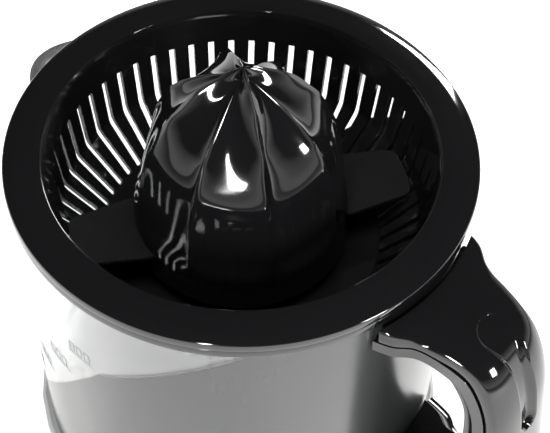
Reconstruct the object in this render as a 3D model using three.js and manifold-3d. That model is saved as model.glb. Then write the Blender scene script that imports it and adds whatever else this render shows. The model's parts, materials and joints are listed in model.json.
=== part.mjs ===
// Electric citrus press: motor base, juice jug with handle, sieve basket and pressing cones.
// Millimetres, +Z up. The origin is the centre of the base plate's underside, on the drive axis.
// The handle points along +X, the spout along -X and the mains inlet along +Y.
import * as THREE from 'three';
import { mergeVertices } from 'three/addons/utils/BufferGeometryUtils.js';
import Module from 'manifold-3d';

const wasm = await Module();
wasm.setup();

// ---- Driving dimensions -------------------------------------------------------------------
const GAP = 0.3;                 // clearance between pieces that touch
const RUN = 0.35;                // radial clearance of a shaft in its bush
const PRESS_TRAVEL = 2.0;        // how far the cones go down to start the motor

const BASE_RADIUS = 87;          // foot of the motor base
const BASE_TOP_RADIUS = 77.4;    // upper edge of the motor base
const BASE_HEIGHT = 71;          // deck that the jug's edge stands on
const SKIRT_WALL = 0.8;          // steel sleeve
const SHELL_WALL = 2.4;          // moulded walls of the base
const FOOT_DROP = 2;             // rubber feet below the base plate
const FOOT_RADIUS = 8;
const PLATE_THICK = 3.2;

const JUG_RADIUS = 82.2;         // outside of the jug at its top edge
const JUG_HEIGHT = 126.1;        // lower edge to top edge
const JUG_TAPER = 0.0636;        // radius lost for each millimetre down
const JUG_WALL = 2.4;
const JUG_FLOOR_RISE = 6.6;      // underside of the floor above the lower edge
const RIM_OVER_JUG = 5.5;        // basket rim above the jug's top edge
const SPOUT_REACH = 14.5;        // spout tip beyond the jug wall
const SPOUT_HALF_WIDTH = 17;

const RIM_RADIUS = 84;           // outside of the basket's rim
const MOUTH_RADIUS = 70;         // inside of the basket's rim
const BASKET_WALL = 1.8;
const BASKET_DEPTH = 44;         // rim to the flat floor
const FLOOR_RISE = 14;           // height of the sloped floor
const FLAT_FLOOR_RADIUS = 50.5;
const SLOT_COUNT = 56;
const SLOT_WIDTH = 2.2;
const SLOT_TOP = 12;             // first slot edge below the rim

const CONE_RADIUS = 38.8;        // foot of the large cone
const CONE_TOP = 43.5;           // its tip above the rim
const CONE_WALL = 2.4;
const CONE_ROOM = 6.9;            // between the small cone and the large cone's wall
const CONE_HEADROOM = 13.5;       // small cone's tip below the large one's
const CONE_FOOT = 6;             // cone feet above the flat floor
const RIDGES = 8;
const RIDGE_ANGLE = THREE.MathUtils.degToRad(10);
const WING_SPAN = 62.5;          // tip radius of the sweeper's wings
const WING_THICK = 1.5;

const HANDLE_REACH = 46.8;       // outermost grip beyond the jug's top edge
const GRIP_DEPTH = 14;
const GRIP_WIDTH = 33;
const HANDLE_ROOT_WIDTH = 52;
const COVER_DEPTH = 7;           // thickness of the handle's cover

const SHAFT_RADIUS = 4;
const SHAFT_FLATS = 7;           // across flats of its hexagons
const SPINDLE_RADIUS = 7.9;
const DRIVE_TEETH = 30;
const PINION_TEETH = 12;
const DRIVE_MODULE = 1.6;
const MOTOR_MODULE = 1.2;
const BACKLASH = 0.3;

// ---- Heights that follow from them ---------------------------------------------------------
const JUG_FOOT_Z = BASE_HEIGHT + GAP + 0.1;
const RIM_Z = JUG_FOOT_Z + JUG_HEIGHT + RIM_OVER_JUG;
const jugTop = -RIM_OVER_JUG;                  // the jug, basket and cones are drawn from the rim down
const jugFoot = jugTop - JUG_HEIGHT;
const jugFloor = jugFoot + JUG_FLOOR_RISE;     // underside of the jug's floor
const floorTop = -BASKET_DEPTH;
const floorBottom = floorTop - 2;
const bend = floorTop + FLOOR_RISE;            // where the basket's wall meets its sloped floor
const wallFoot = MOUTH_RADIUS - 5.5;           // basket wall's inner radius at the bend
const collarTop = floorTop + 9;
const columnTop = floorBottom - 10;
const coneFoot = floorTop + CONE_FOOT;
const wingTop = bend + 2;
const smallConeRadius = CONE_RADIUS - CONE_WALL - CONE_ROOM;
const smallConeTop = CONE_TOP - CONE_HEADROOM;
const KEY_DEPTH = 1.3;            // how far the large cone's keys reach into the small one
const spindleFoot = floorBottom - 5;
const spindleTop = coneFoot + 26;
const plinthTop = BASE_HEIGHT + 5;
const shaftFoot = 22;
const shaftTop = RIM_Z + spindleTop - 4.4;
const framePlate = 30;
const gearBottom = 36.5;

const SIDES = 32;                              // facets of the large round pieces

// ---- Geometry helpers ----------------------------------------------------------------------
function indexOf(geometry) {
  const plain = geometry.index ? geometry.toNonIndexed() : geometry.clone();
  plain.deleteAttribute('normal');
  plain.deleteAttribute('uv');
  const merged = mergeVertices(plain, 1e-4);
  const corners = merged.index.array;
  const kept = [];
  for (let i = 0; i < corners.length; i += 3) {
    const [a, b, c] = [corners[i], corners[i + 1], corners[i + 2]];
    if (a !== b && b !== c && c !== a) kept.push(a, b, c);
  }
  return { points: merged.attributes.position.array, faces: kept };
}

function signedVolume(points, faces) {
  const [a, b, c] = [new THREE.Vector3(), new THREE.Vector3(), new THREE.Vector3()];
  let total = 0;
  for (let i = 0; i < faces.length; i += 3) {
    a.fromArray(points, faces[i] * 3);
    b.fromArray(points, faces[i + 1] * 3);
    c.fromArray(points, faces[i + 2] * 3);
    total += a.dot(b.cross(c)) / 6;
  }
  return total;
}

function solid(geometry) {
  const { points, faces } = indexOf(geometry);
  if (signedVolume(points, faces) < 0) {
    for (let i = 0; i < faces.length; i += 3) [faces[i], faces[i + 1]] = [faces[i + 1], faces[i]];
  }
  const vertProperties = new Float32Array(points);
  const triVerts = new Uint32Array(faces);
  return new wasm.Manifold(new wasm.Mesh({ numProp: 3, vertProperties, triVerts }));
}

function cut(body, ...tools) {
  return tools.reduce((left, tool) => left.subtract(tool), body);
}

function join(...bodies) {
  return bodies.reduce((sum, body) => sum.add(body));
}

function turned(profile, sides = 48, start = 0) {
  const points = profile.map(([r, z]) => new THREE.Vector2(r, z));
  if (profile[0][0] > 0) points.push(points[0].clone());
  return solid(new THREE.LatheGeometry(points, sides).rotateX(Math.PI / 2).rotateZ(start));
}

function rod(radius, z0, z1, sides = 16, x = 0, y = 0) {
  const shape = new THREE.CylinderGeometry(radius, radius, z1 - z0, sides);
  return solid(shape.rotateX(Math.PI / 2).translate(x, y, (z0 + z1) / 2));
}

function radialRod(radius, r0, r1, z, angle = 0, sides = 12) {
  const shape = new THREE.CylinderGeometry(radius, radius, r1 - r0, sides).rotateZ(Math.PI / 2);
  return solid(shape.translate((r0 + r1) / 2, 0, z).rotateZ(angle));
}

function hexRod(flats, z0, z1) {
  return rod(flats / Math.sqrt(3), z0, z1, 6);
}

function block(x0, x1, y0, y1, z0, z1, angle = 0) {
  const shape = new THREE.BoxGeometry(x1 - x0, y1 - y0, z1 - z0);
  return solid(shape.translate((x0 + x1) / 2, (y0 + y1) / 2, (z0 + z1) / 2).rotateZ(angle));
}

function outline(points) {
  return new THREE.Shape(points.map(([x, y]) => new THREE.Vector2(x, y)));
}

function prism(points, z0, z1) {
  const shape = new THREE.ExtrudeGeometry(outline(points), { depth: z1 - z0, bevelEnabled: false });
  return solid(shape.translate(0, 0, z0));
}

// An outline in the XZ plane, extruded to both sides of it.
function sidePrism(points, halfWidth) {
  const shape = new THREE.ExtrudeGeometry(outline(points), { depth: 2 * halfWidth, bevelEnabled: false });
  return solid(shape.translate(0, 0, -halfWidth).rotateX(Math.PI / 2));
}

function smooth(points, count) {
  const curve = new THREE.SplineCurve(points.map(([x, y]) => new THREE.Vector2(x, y)));
  return curve.getPoints(count).map((p) => [p.x, p.y]);
}

// Rings of equal length joined into one closed body, with a fan over each end.
function loft(rings) {
  const count = rings[0].length;
  const points = rings.flat(2);
  const faces = [];
  for (let row = 0; row + 1 < rings.length; row++) {
    for (let i = 0; i < count; i++) {
      const a = row * count + i;
      const b = row * count + (i + 1) % count;
      faces.push(a, b, b + count, a, b + count, a + count);
    }
  }
  const last = (rings.length - 1) * count;
  for (let i = 1; i + 1 < count; i++) faces.push(0, i + 1, i, last, last + i, last + i + 1);
  const shape = new THREE.BufferGeometry();
  shape.setAttribute('position', new THREE.Float32BufferAttribute(points, 3));
  shape.setIndex(faces);
  return solid(shape);
}

const polar = (r, angle, z) => [r * Math.cos(angle), r * Math.sin(angle), z];

// ---- Scene graph ---------------------------------------------------------------------------
const press = new THREE.Group();
const upper = new THREE.Group();
upper.position.z = RIM_Z;
press.add(upper);

const finishes = {
  glossBlack: { color: 0x101112, roughness: 0.12, metalness: 0 },
  silver: { color: 0xbdbebd, roughness: 0.35, metalness: 0.25 },
  satinBlack: { color: 0x1c1d1f, roughness: 0.5, metalness: 0 },
  clear: { color: 0xdfe3e4, roughness: 0.08, metalness: 0, transparent: true, opacity: 0.4 },
  brushedSteel: { color: 0xc9cacb, roughness: 0.35, metalness: 1 },
  steel: { color: 0xa9abad, roughness: 0.3, metalness: 1 },
  copper: { color: 0xb0683a, roughness: 0.35, metalness: 1 },
  nylon: { color: 0xe9e5da, roughness: 0.5, metalness: 0 },
  rubber: { color: 0x232425, roughness: 0.85, metalness: 0 },
};

function addPiece(group, name, body, finish) {
  const { vertProperties, triVerts } = body.getMesh();
  const shape = new THREE.BufferGeometry();
  shape.setAttribute('position', new THREE.Float32BufferAttribute(vertProperties, 3));
  shape.setIndex(Array.from(triVerts));
  const mesh = new THREE.Mesh(shape, new THREE.MeshStandardMaterial(finishes[finish]));
  mesh.name = name;
  group.add(mesh);
  return mesh;
}

function addCopies(group, name, body, finish, places) {
  places.forEach(([x, y, z], i) => {
    addPiece(group, `${name}_${i + 1}`, body, finish).position.set(x, y, z);
  });
}

function around(count, radius, start, z) {
  const step = 2 * Math.PI / count;
  return Array.from({ length: count }, (_, i) => polar(radius, start + i * step, z));
}

// ---- Motor base ----------------------------------------------------------------------------
const skirtFoot = 1.2;
const skirtTop = BASE_HEIGHT - 5;
const lipRadius = BASE_TOP_RADIUS;
const screwCircle = lipRadius - 7.4;     // radius of the base screws' circle
const deckScrews = around(4, screwCircle, 0.5 * Math.PI / 2, 0);
const footPlaces = around(4, BASE_RADIUS - 17, 0, 0);
const inletZ = 15;
const screwSeat = PLATE_THICK - 0.9;   // depth of the screw heads' recesses

// The base flares outwards to its foot; inset moves the curve inwards.
function flare(inset, z0, z1, count = 3) {
  return Array.from({ length: count + 1 }, (_, i) => {
    const z = z0 + (z1 - z0) * i / count;
    const down = (skirtTop - z) / (skirtTop - skirtFoot);
    const spread = (BASE_RADIUS - lipRadius + 0.8) * Math.max(down, 0) ** 1.7;
    return [lipRadius - 0.8 + spread - inset, z];
  });
}

function makeSkirt() {
  const outside = flare(0, skirtFoot, skirtTop);
  const inside = flare(SKIRT_WALL, skirtFoot, skirtTop).reverse();
  const sleeve = turned([...outside, ...inside], SIDES);
  return cut(sleeve, radialRod(6.2, BASE_RADIUS - 15, BASE_RADIUS + 5, inletZ, Math.PI / 2));
}

function makeBaseShell() {
  const skin = SKIRT_WALL + GAP;
  const outside = flare(skin, skirtFoot, skirtTop);
  const inside = flare(skin + SHELL_WALL, skirtFoot, skirtTop - 3).reverse();
  const plinth = JUG_RADIUS - JUG_TAPER * JUG_HEIGHT - JUG_WALL - 1;
  const shell = turned([
    ...outside, [lipRadius - 1.1, skirtTop + GAP], [lipRadius, skirtTop + GAP],
    [lipRadius, BASE_HEIGHT - 1.2], [lipRadius - 1.2, BASE_HEIGHT], [plinth, BASE_HEIGHT],
    [plinth, plinthTop - 1.5], [plinth - 1.5, plinthTop], [12, plinthTop], [12, plinthTop - 4],
    [plinth - 5, plinthTop - 4], [plinth - 5, skirtTop - 1], ...inside,
  ], SIDES);
  const bushSeat = turned([[10.4, plinthTop - 15], [10.4, plinthTop - 4], [13, plinthTop - 4], [13, plinthTop],
    [10.4, plinthTop], [10.4, plinthTop - 2.4], [7.3, plinthTop - 2.4], [7.3, plinthTop - 15]], 20);
  const bosses = deckScrews.map(([x, y]) => join(
    rod(4.6, PLATE_THICK + GAP, skirtTop, 8, x, y),
    block(screwCircle, lipRadius - 2.4, -1.2, 1.2, PLATE_THICK + 6, skirtTop, Math.atan2(y, x)),
  ));
  const holes = deckScrews.map(([x, y]) => rod(1.9, 0, 19, 8, x, y));
  const hangers = framePosts().map(([x, y]) => rod(4, framePlate + 3 + GAP, plinthTop - 4, 8, x, y));
  const pilots = framePosts().map(([x, y]) => rod(1.7, framePlate, framePlate + 14, 8, x, y));
  const inlet = radialRod(5.3, BASE_RADIUS - 22, BASE_RADIUS + 5, inletZ, Math.PI / 2);
  return cut(join(shell, bushSeat, ...bosses, ...hangers), ...holes, ...pilots, inlet);
}

function makeBasePlate() {
  const radius = BASE_RADIUS - SKIRT_WALL - 3;
  const plate = turned([[0, 0], [radius - 1, 0], [radius, 1], [radius, skirtFoot - GAP],
    [radius - 3, skirtFoot - GAP], [radius - 3, PLATE_THICK], [0, PLATE_THICK]], SIDES);
  const recesses = footPlaces.map(([x, y]) => rod(FOOT_RADIUS + GAP, -1, 1.3, 20, x, y));
  const holes = deckScrews.map(([x, y]) => join(
    rod(1.9, -1, PLATE_THICK + 1, 8, x, y), rod(4.1, -1, screwSeat, 12, x, y)));
  const vents = around(8, 44, 0.2, 0).map(([x, y]) => (
    block(38, 50, -1.6, 1.6, -1, PLATE_THICK + 1, Math.atan2(y, x))));
  return cut(plate, ...recesses, ...holes, ...vents);
}

function makeFoot() {
  return turned([[0, -FOOT_DROP], [FOOT_RADIUS - 1, -FOOT_DROP], [FOOT_RADIUS, -FOOT_DROP + 0.8],
    [FOOT_RADIUS, 1], [0, 1]], 20);
}

// A pan-head screw with its head's underside at z = 0 and its shank going up.
function makeScrew(headRadius, shankRadius, length) {
  const screw = turned([[0, -1.9], [headRadius, -1.5], [headRadius, 0], [shankRadius, 0],
    [shankRadius, length - 1.2], [0, length]], 8);
  return cut(screw, block(-headRadius - 1, headRadius + 1, -0.5, 0.5, -3, -1.1));
}

// ---- Gear train ----------------------------------------------------------------------------
const idlerAxis = [-(DRIVE_TEETH + PINION_TEETH) * DRIVE_MODULE / 2, 0];
const motorAxis = [idlerAxis[0], (DRIVE_TEETH + PINION_TEETH) * MOTOR_MODULE / 2];
const gearFace = 7;
const topGear = gearBottom + gearFace + 0.8;
const stackBottom = 8;
const stackTop = 24;
const motorScrews = [[-14.5, -14.5], [29.5, 14.5]].map(([x, y]) => [motorAxis[0] + x, motorAxis[1] + y]);

function framePosts() {
  return [[30, 26], [30, -26], [-44, -24]];
}

// Involute teeth with a tooth centred on the given angle.
function makeGear(teeth, module, z0, z1, phase, bore) {
  const pitch = teeth * module / 2;
  const tip = pitch + 0.85 * module;
  const root = pitch - 1.15 * module;
  const pressure = THREE.MathUtils.degToRad(20);
  const baseCircle = pitch * Math.cos(pressure);
  const roll = (r) => {
    const a = Math.acos(Math.min(1, baseCircle / r));
    return Math.tan(a) - a;
  };
  const half = (r) => (Math.PI * module / 2 - BACKLASH) / 2 / pitch + roll(pitch) - roll(r);
  const points = [];
  for (let i = 0; i < teeth; i++) {
    const centre = phase + i * 2 * Math.PI / teeth;
    const flank = [root, tip].map((r) => [r, half(Math.max(r, baseCircle))]);
    for (const [r, a] of flank) points.push([r * Math.cos(centre - a), r * Math.sin(centre - a)]);
    for (const [r, a] of flank.reverse()) points.push([r * Math.cos(centre + a), r * Math.sin(centre + a)]);
  }
  return cut(prism(points, z0, z1), rod(bore, z0 - 1, z1 + 1, 16));
}

function makeDriveGear() {
  const wheel = makeGear(DRIVE_TEETH, DRIVE_MODULE, gearBottom, gearBottom + gearFace, Math.PI, 3);
  const hub = join(rod(8.6, gearBottom, gearBottom + gearFace + 2.5, 20),
    rod(6.6, framePlate + 3 + GAP, gearBottom, 20));
  return cut(join(wheel, hub), hexRod(SHAFT_FLATS + 0.6, framePlate, gearBottom + gearFace + 5));
}

function makeIdler() {
  const bore = 2 + RUN;
  const small = makeGear(PINION_TEETH, DRIVE_MODULE, framePlate + 3.8, topGear, Math.PI / PINION_TEETH, bore);
  const large = makeGear(DRIVE_TEETH, MOTOR_MODULE, topGear, topGear + 5, Math.PI / 2, bore);
  return join(small, large);
}

function makePinion() {
  const phase = -Math.PI / 2 + Math.PI / PINION_TEETH;
  return makeGear(PINION_TEETH, MOTOR_MODULE, topGear - 0.8, topGear + 5.8, phase, 2 + GAP);
}

function makeFrame() {
  const plate = prism([[37, 34], [37, -34], [-52, -34], [-60, 2], [-56, 38], [8, 50]],
    framePlate, framePlate + 3);
  const posts = motorScrews.map(([x, y]) => rod(4, stackTop + GAP, framePlate, 12, x, y));
  const holes = motorScrews.map(([x, y]) => rod(1.8, stackTop, framePlate + 4, 10, x, y));
  const screws = framePosts().map(([x, y]) => rod(1.9, framePlate - 1, framePlate + 4, 10, x, y));
  const bushes = rod(7 + GAP, framePlate - 1, framePlate + 4, 20);
  const motorHole = rod(2 + RUN, framePlate - 1, framePlate + 4, 12, ...motorAxis);
  const pinHole = rod(2 + GAP, framePlate - 1, framePlate + 4, 12, ...idlerAxis);
  return cut(join(plate, ...posts), ...holes, ...screws, bushes, motorHole, pinHole);
}

function makeIdlerPin() {
  return turned([[0, framePlate], [2, framePlate], [2, topGear + 6.6], [3.4, topGear + 6.6], [3.4, topGear + 8], [0, topGear + 8]], 14);
}

function makeStator() {
  const [mx, my] = motorAxis;
  const stack = block(mx - 19, mx + 34, my - 18, my + 18, stackBottom, stackTop);
  return cut(stack, rod(12.3, 0, 40, 32, mx, my), block(mx + 16, mx + 25, my - 11, my + 11, 0, 40),
    ...motorScrews.map(([x, y]) => rod(1.8, 0, 40, 10, x, y)));
}

function makeCoil() {
  const [mx, my] = motorAxis;
  const winding = block(mx + 17, mx + 41, my - 10, my + 10, stackBottom - 4.5, stackTop + 4.5);
  return cut(winding, block(mx + 25 - GAP, mx + 34 + GAP, my - 20, my + 20, stackBottom - GAP, stackTop + GAP));
}

function makeMotorBracket() {
  const [[x0, y0], [x1, y1]] = motorScrews;
  const [mx, my] = motorAxis;
  const z0 = stackBottom - 2 - GAP;
  const z1 = stackBottom - GAP;
  const strap = prism([[x0 - 3, y0 + 3], [x0 - 3, y0 - 3], [mx + 5, my - 7], [mx + 14, my - 3],
    [mx + 14, y1 - 3], [x1 - 14, y1 - 3.2], [x1 - 14, y1 + 3.2], [mx - 4, y1 + 3.2], [mx - 8, my + 4]], z0, z1);
  return cut(strap, rod(1.8, z0 - 1, z1 + 1, 10, x0, y0), rod(2 + RUN, z0 - 1, z1 + 1, 12, mx, my));
}

function makeSpring(z0, z1) {
  const turns = 4;
  const radius = SHAFT_RADIUS + 2;
  const wire = 0.55;
  const low = z0 + wire;
  const rise = z1 - z0 - 2 * wire;
  class Helix extends THREE.Curve {
    getPoint(t, target = new THREE.Vector3()) {
      return target.set(...polar(radius, t * turns * 2 * Math.PI, low + rise * t));
    }
  }
  const section = new THREE.Shape().absarc(0, 0, wire, 0, 2 * Math.PI);
  const options = { extrudePath: new Helix(), steps: turns * 9, curveSegments: 2, bevelEnabled: false };
  return solid(new THREE.ExtrudeGeometry(section, options));
}

// ---- Drive shaft ---------------------------------------------------------------------------
const springBottom = gearBottom + gearFace + 2.5 + GAP;
const springTop = plinthTop - 19.5;

function makeShaft() {
  return join(
    rod(SHAFT_RADIUS - 0.1, shaftFoot, framePlate + 1, 16),
    hexRod(SHAFT_FLATS, framePlate + 1, springTop + 1),
    rod(SHAFT_RADIUS, springTop + 1, RIM_Z + spindleFoot - 8, 16),
    hexRod(SHAFT_FLATS, RIM_Z + spindleFoot - 8, shaftTop),
  );
}

function makeWasher(inner, outer, z0, z1) {
  return turned([[inner, z0], [outer, z0], [outer, z1], [inner, z1]], 24);
}

function makeUpperBush() {
  const inner = SHAFT_RADIUS + RUN;
  return turned([[inner, plinthTop - 14], [7, plinthTop - 14], [7, plinthTop - 2.1], [10, plinthTop - 2.1],
    [10, plinthTop - 0.6], [inner, plinthTop - 0.6]], 24);
}

function makeSeal() {
  const inner = SHAFT_RADIUS + GAP;
  return turned([[inner + 0.6, plinthTop - 0.3], [9, plinthTop - 0.3], [9, plinthTop + 1],
    [inner + 1.6, plinthTop + 3.6], [inner, plinthTop + 3.6], [inner + 0.8, plinthTop + 1]], 24);
}

function makeSwitch() {
  const body = block(-11, 9, -8, 4, PLATE_THICK + GAP, 14);
  return cut(body, block(-3 - GAP, 3 + GAP, -3 - GAP, 3 + GAP, 7, 20));
}

function makeSwitchButton() {
  return block(-3, 3, -3, 3, 7 + PRESS_TRAVEL + 0.6, shaftFoot - GAP);
}

function makeInlet() {
  const [r0, r1] = [BASE_RADIUS - 14, BASE_RADIUS + 1.5];
  const body = join(radialRod(4.9, r0, r1, inletZ, Math.PI / 2, 16),
    radialRod(7.4, BASE_RADIUS - 0.6, r1, inletZ, Math.PI / 2, 20));
  return cut(body, radialRod(3.3, r0 - 1, r1 + 1, inletZ, Math.PI / 2, 16));
}

// ---- Jug -----------------------------------------------------------------------------------
const jugRadius = (z) => JUG_RADIUS + JUG_TAPER * (z - jugTop);

// A beak seen from above: wide at the wall and round at its tip, shrinking down to the wall.
function beak(offset) {
  const levels = [[jugTop - 2 + offset, 1], [jugTop - 14, 0.95], [jugTop - 26, 0.6], [jugTop - 38, 0.12]];
  return loft(levels.map(([z, size]) => {
    const wall = jugRadius(z);
    const reach = (SPOUT_REACH - offset) * size;
    const half = (SPOUT_HALF_WIDTH - offset) * (0.35 + 0.65 * size);
    const inner = wall - 5;
    return [[-inner, -half, z], [-wall + 1.5, -half, z], [-wall - reach * 0.72, -half * 0.52, z],
      [-wall - reach, -half * 0.16, z], [-wall - reach, half * 0.16, z],
      [-wall - reach * 0.72, half * 0.52, z], [-wall + 1.5, half, z], [-inner, half, z]];
  }));
}

function makeJug() {
  const columnFoot = 13.5;
  const bore = 7.5;
  const floor = jugFloor + 3;
  const body = turned([
    [jugRadius(jugFoot), jugFoot], [jugRadius(jugTop), jugTop], [jugRadius(jugTop) - JUG_WALL, jugTop],
    [jugRadius(floor + 6) - JUG_WALL, floor + 6], [jugRadius(floor) - JUG_WALL - 5, floor],
    [columnFoot, floor], [columnFoot - 1.5, floor + 6], [bore + 2.6, columnTop], [bore, columnTop],
    [11, jugFloor], [jugRadius(jugFloor) - JUG_WALL, jugFloor], [jugRadius(jugFoot) - JUG_WALL, jugFoot],
  ], SIDES);
  const midWall = (z) => jugRadius(z) - JUG_WALL / 2;
  const inside = turned([[0, floor], [midWall(floor), floor], [midWall(5), 5], [0, 5]], SIDES);
  const slope = Math.atan2(11, SPOUT_REACH + 6);
  const lid = new THREE.BoxGeometry(60, 80, 30).translate(-30, 0, 15).rotateY(-slope);
  const above = solid(lid.translate(-jugRadius(jugTop) + 4, 0, jugTop - 3));
  const lip = cut(beak(0), inside, above);
  const channel = cut(beak(JUG_WALL), above);
  const bosses = handleBosses().map((z) => block(jugRadius(z) - 1.5, jugRadius(z) + 8, -7, 7, z - 5, z + 5));
  const holes = handleBosses().map((z) => radialRod(1.8, jugRadius(z) + 0.2, jugRadius(z) + 12, z));
  return cut(join(body, lip, ...bosses), channel, ...holes);
}

function makeCollar() {
  const outer = JUG_RADIUS + GAP;
  const inner = JUG_RADIUS - JUG_WALL - GAP;
  return turned([[inner - 1.1, jugTop - 4], [inner, jugTop - 4], [inner, jugTop + GAP], [outer, jugTop + GAP],
    [outer, jugTop - 2.2], [outer + 1, jugTop - 2.2], [outer + 1, jugTop + 0.9], [outer - 0.4, jugTop + 0.9],
    [outer - 0.4, jugTop + 2.6], [inner - 1.1, jugTop + 2.6]], SIDES);
}

// ---- Handle --------------------------------------------------------------------------------
function handleBosses() {
  return [jugTop - 18.5, jugFoot + 18.5];
}

// Outside curve of the handle in the XZ plane, moved inwards by depth.
function gripCurve(depth, drop = 0) {
  const r = JUG_RADIUS + HANDLE_REACH - depth;
  const low = jugFoot + 5 + drop;
  const top = jugTop - 3;
  return smooth([[JUG_RADIUS - 4, top - depth * 0.95], [JUG_RADIUS + 12, top - 0.6 - depth * 0.95],
    [JUG_RADIUS + 28 - depth * 0.55, top - 4 - depth], [r - 9 + depth * 0.12, top - 12 - depth * 0.75], [r - 3 + depth * 0.08, top - 28 - depth * 0.45],
    [r - 0.5, top - 52], [r, (top + low) / 2 - 8], [r - 3, low + 26 + depth * 0.3],
    [r - 12, low + 11 + depth * 0.8], [r - 26 + depth * 0.3, low + 2 + depth], [JUG_RADIUS - 10, low + depth]], 22);
}

function handlePlan(extra = 0) {
  const root = HANDLE_ROOT_WIDTH / 2 + extra;
  const grip = GRIP_WIDTH / 2 + extra;
  const far = JUG_RADIUS + HANDLE_REACH + 2;
  const edge = smooth([[JUG_RADIUS - 12, root + 3], [JUG_RADIUS + 1.8, root], [JUG_RADIUS + 9, root - 4.5],
    [JUG_RADIUS + 20, grip + 2.6], [JUG_RADIUS + 32, grip + 0.5], [far, grip - 0.5]], 8);
  return prism([...edge, ...edge.map(([x, y]) => [x, -y]).reverse()], jugFoot - 5, 10);
}

function jugBlank(gap) {
  return turned([[0, jugFoot - 10], [jugRadius(jugFoot - 10) + gap, jugFoot - 10],
    [jugRadius(12) + gap, 12], [0, 12]], SIDES);
}

function makeHandleCore() {
  const outer = gripCurve(COVER_DEPTH + GAP);
  const inner = gripCurve(COVER_DEPTH + GRIP_DEPTH - 2).reverse();
  const body = sidePrism([...outer, ...inner], HANDLE_ROOT_WIDTH).intersect(handlePlan(-0.4));
  const seats = handleBosses().map((z) => (
    block(JUG_RADIUS - 20, jugRadius(z) + 8 + GAP, -7 - GAP, 7 + GAP, z - 5 - GAP, z + 5 + GAP)));
  const holes = handleBosses().map((z) => join(
    radialRod(1.8, jugRadius(z), jugRadius(z) + 40, z),
    radialRod(3.5, jugRadius(z) + 11, jugRadius(z) + HANDLE_REACH, z)));
  return cut(body, jugBlank(GAP), ...seats, ...holes);
}

function thumbRecess() {
  const path = gripCurve(0).slice(4, 13);
  const rings = path.map(([x, z], i) => {
    const t = i / (path.length - 1);
    const half = 7.2 * Math.sin(Math.PI * Math.min(1, 0.12 + t * 1.05) ** 0.6) + 0.4;
    const next = path[Math.min(i + 1, path.length - 1)];
    const last = path[Math.max(i - 1, 0)];
    const along = new THREE.Vector2(next[0] - last[0], next[1] - last[1]).normalize();
    return Array.from({ length: 10 }, (_, k) => {
      const a = k * Math.PI / 5;
      const out = 3 * Math.sin(a);
      return [x - along.y * out, half * Math.cos(a), z + along.x * out];
    });
  });
  return loft(rings);
}

function makeHandleCover() {
  const outer = gripCurve(0);
  const inner = gripCurve(COVER_DEPTH).reverse();
  const body = sidePrism([...outer, ...inner], HANDLE_ROOT_WIDTH).intersect(handlePlan());
  const rimRoom = turned([[0, -20], [RIM_RADIUS + 0.8, -20], [RIM_RADIUS + 0.8, 12], [0, 12]], SIDES);
  return cut(body, jugBlank(GAP), rimRoom, thumbRecess());
}

// ---- Basket --------------------------------------------------------------------------------
function makeBasket() {
  const hub = SPINDLE_RADIUS + RUN;
  const rib = JUG_RADIUS - JUG_WALL - 2.2;
  const lip = RIM_RADIUS - 1.4;
  const wall = BASKET_WALL;
  const centre = turned([[hub, floorBottom], [hub, collarTop], [hub + 2.2, collarTop], [hub + 2.2, floorTop],
    [16, floorTop], [16, floorBottom], [14.5, floorBottom], [14.5, columnTop - 4], [12.5, columnTop - 4],
    [12.5, floorBottom]], 24);
  const body = turned([[13.5, floorTop], [FLAT_FLOOR_RADIUS, floorTop], [wallFoot, bend],
    [MOUTH_RADIUS - 0.5, -1.2], [MOUTH_RADIUS, 0.5],
    [MOUTH_RADIUS + 0.8, 1.3], [RIM_RADIUS - 1.2, -0.6], [RIM_RADIUS, -1.6],
    [RIM_RADIUS, -4.2], [lip, -4.2], [lip, -2.4], [rib, -2.2], [rib, jugTop - 4], [rib - 1.6, jugTop - 4],
    [rib - 1.6, -2], [MOUTH_RADIUS + wall, -1.6], [wallFoot + wall, bend - 0.6],
    [FLAT_FLOOR_RADIUS + 0.8, floorBottom], [13.5, floorBottom]], SLOT_COUNT);
  const step = 2 * Math.PI / SLOT_COUNT;
  const slots = Array.from({ length: SLOT_COUNT }, (_, i) => block(FLAT_FLOOR_RADIUS - 0.5, MOUTH_RADIUS + 4,
    -SLOT_WIDTH / 2, SLOT_WIDTH / 2, floorBottom - 4, -SLOT_TOP, (i + 0.5) * step));
  return cut(join(body, centre), ...slots);
}

// ---- Cones and sweeper ---------------------------------------------------------------------
// Ridge line of the large cone as a share of its radius against a share of its height.
const crest = smooth([[1, 0], [0.995, 0.22], [0.94, 0.46], [0.825, 0.64], [0.63, 0.804], [0.41, 0.914],
  [0.2, 0.97], [0.015, 1]], 10);

function fluted(radius, foot, top, count) {
  return loft(crest.map(([share, height]) => {
    const carve = THREE.MathUtils.smoothstep(height, 0.2, 0.95);
    const depth = share * radius * (0.005 + 0.26 * carve);
    return Array.from({ length: count }, (_, i) => {
      const angle = i * 2 * Math.PI / count;
      const flute = Math.abs(Math.sin(angle * RIDGES / 2)) ** 0.8;
      return polar(share * radius - depth * flute, angle + RIDGE_ANGLE, foot + height * (top - foot));
    });
  }));
}

function hollow(radius, foot, top) {
  const inside = crest.filter(([share]) => share > 0.45).map(([share, height]) => {
    const carve = THREE.MathUtils.smoothstep(height, 0.2, 0.95);
    return [share * radius * (0.995 - 0.26 * carve) - CONE_WALL, foot + height * (top - foot) - 1.6];
  });
  inside[0][1] = foot - 1;
  const [lastRadius, lastZ] = inside[inside.length - 1];
  return turned([[0, foot - 1], ...inside, [lastRadius * 0.4, lastZ + 4], [0, lastZ + 4]], 24);
}

const wingAngles = [1, 5].map((k) => RIDGE_ANGLE + k * 2 * Math.PI / RIDGES);
const keyAngles = [3, 7].map((k) => RIDGE_ANGLE + k * 2 * Math.PI / RIDGES);
const wingRootHalf = 14.2;
const wingTipHalf = 11;

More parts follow.
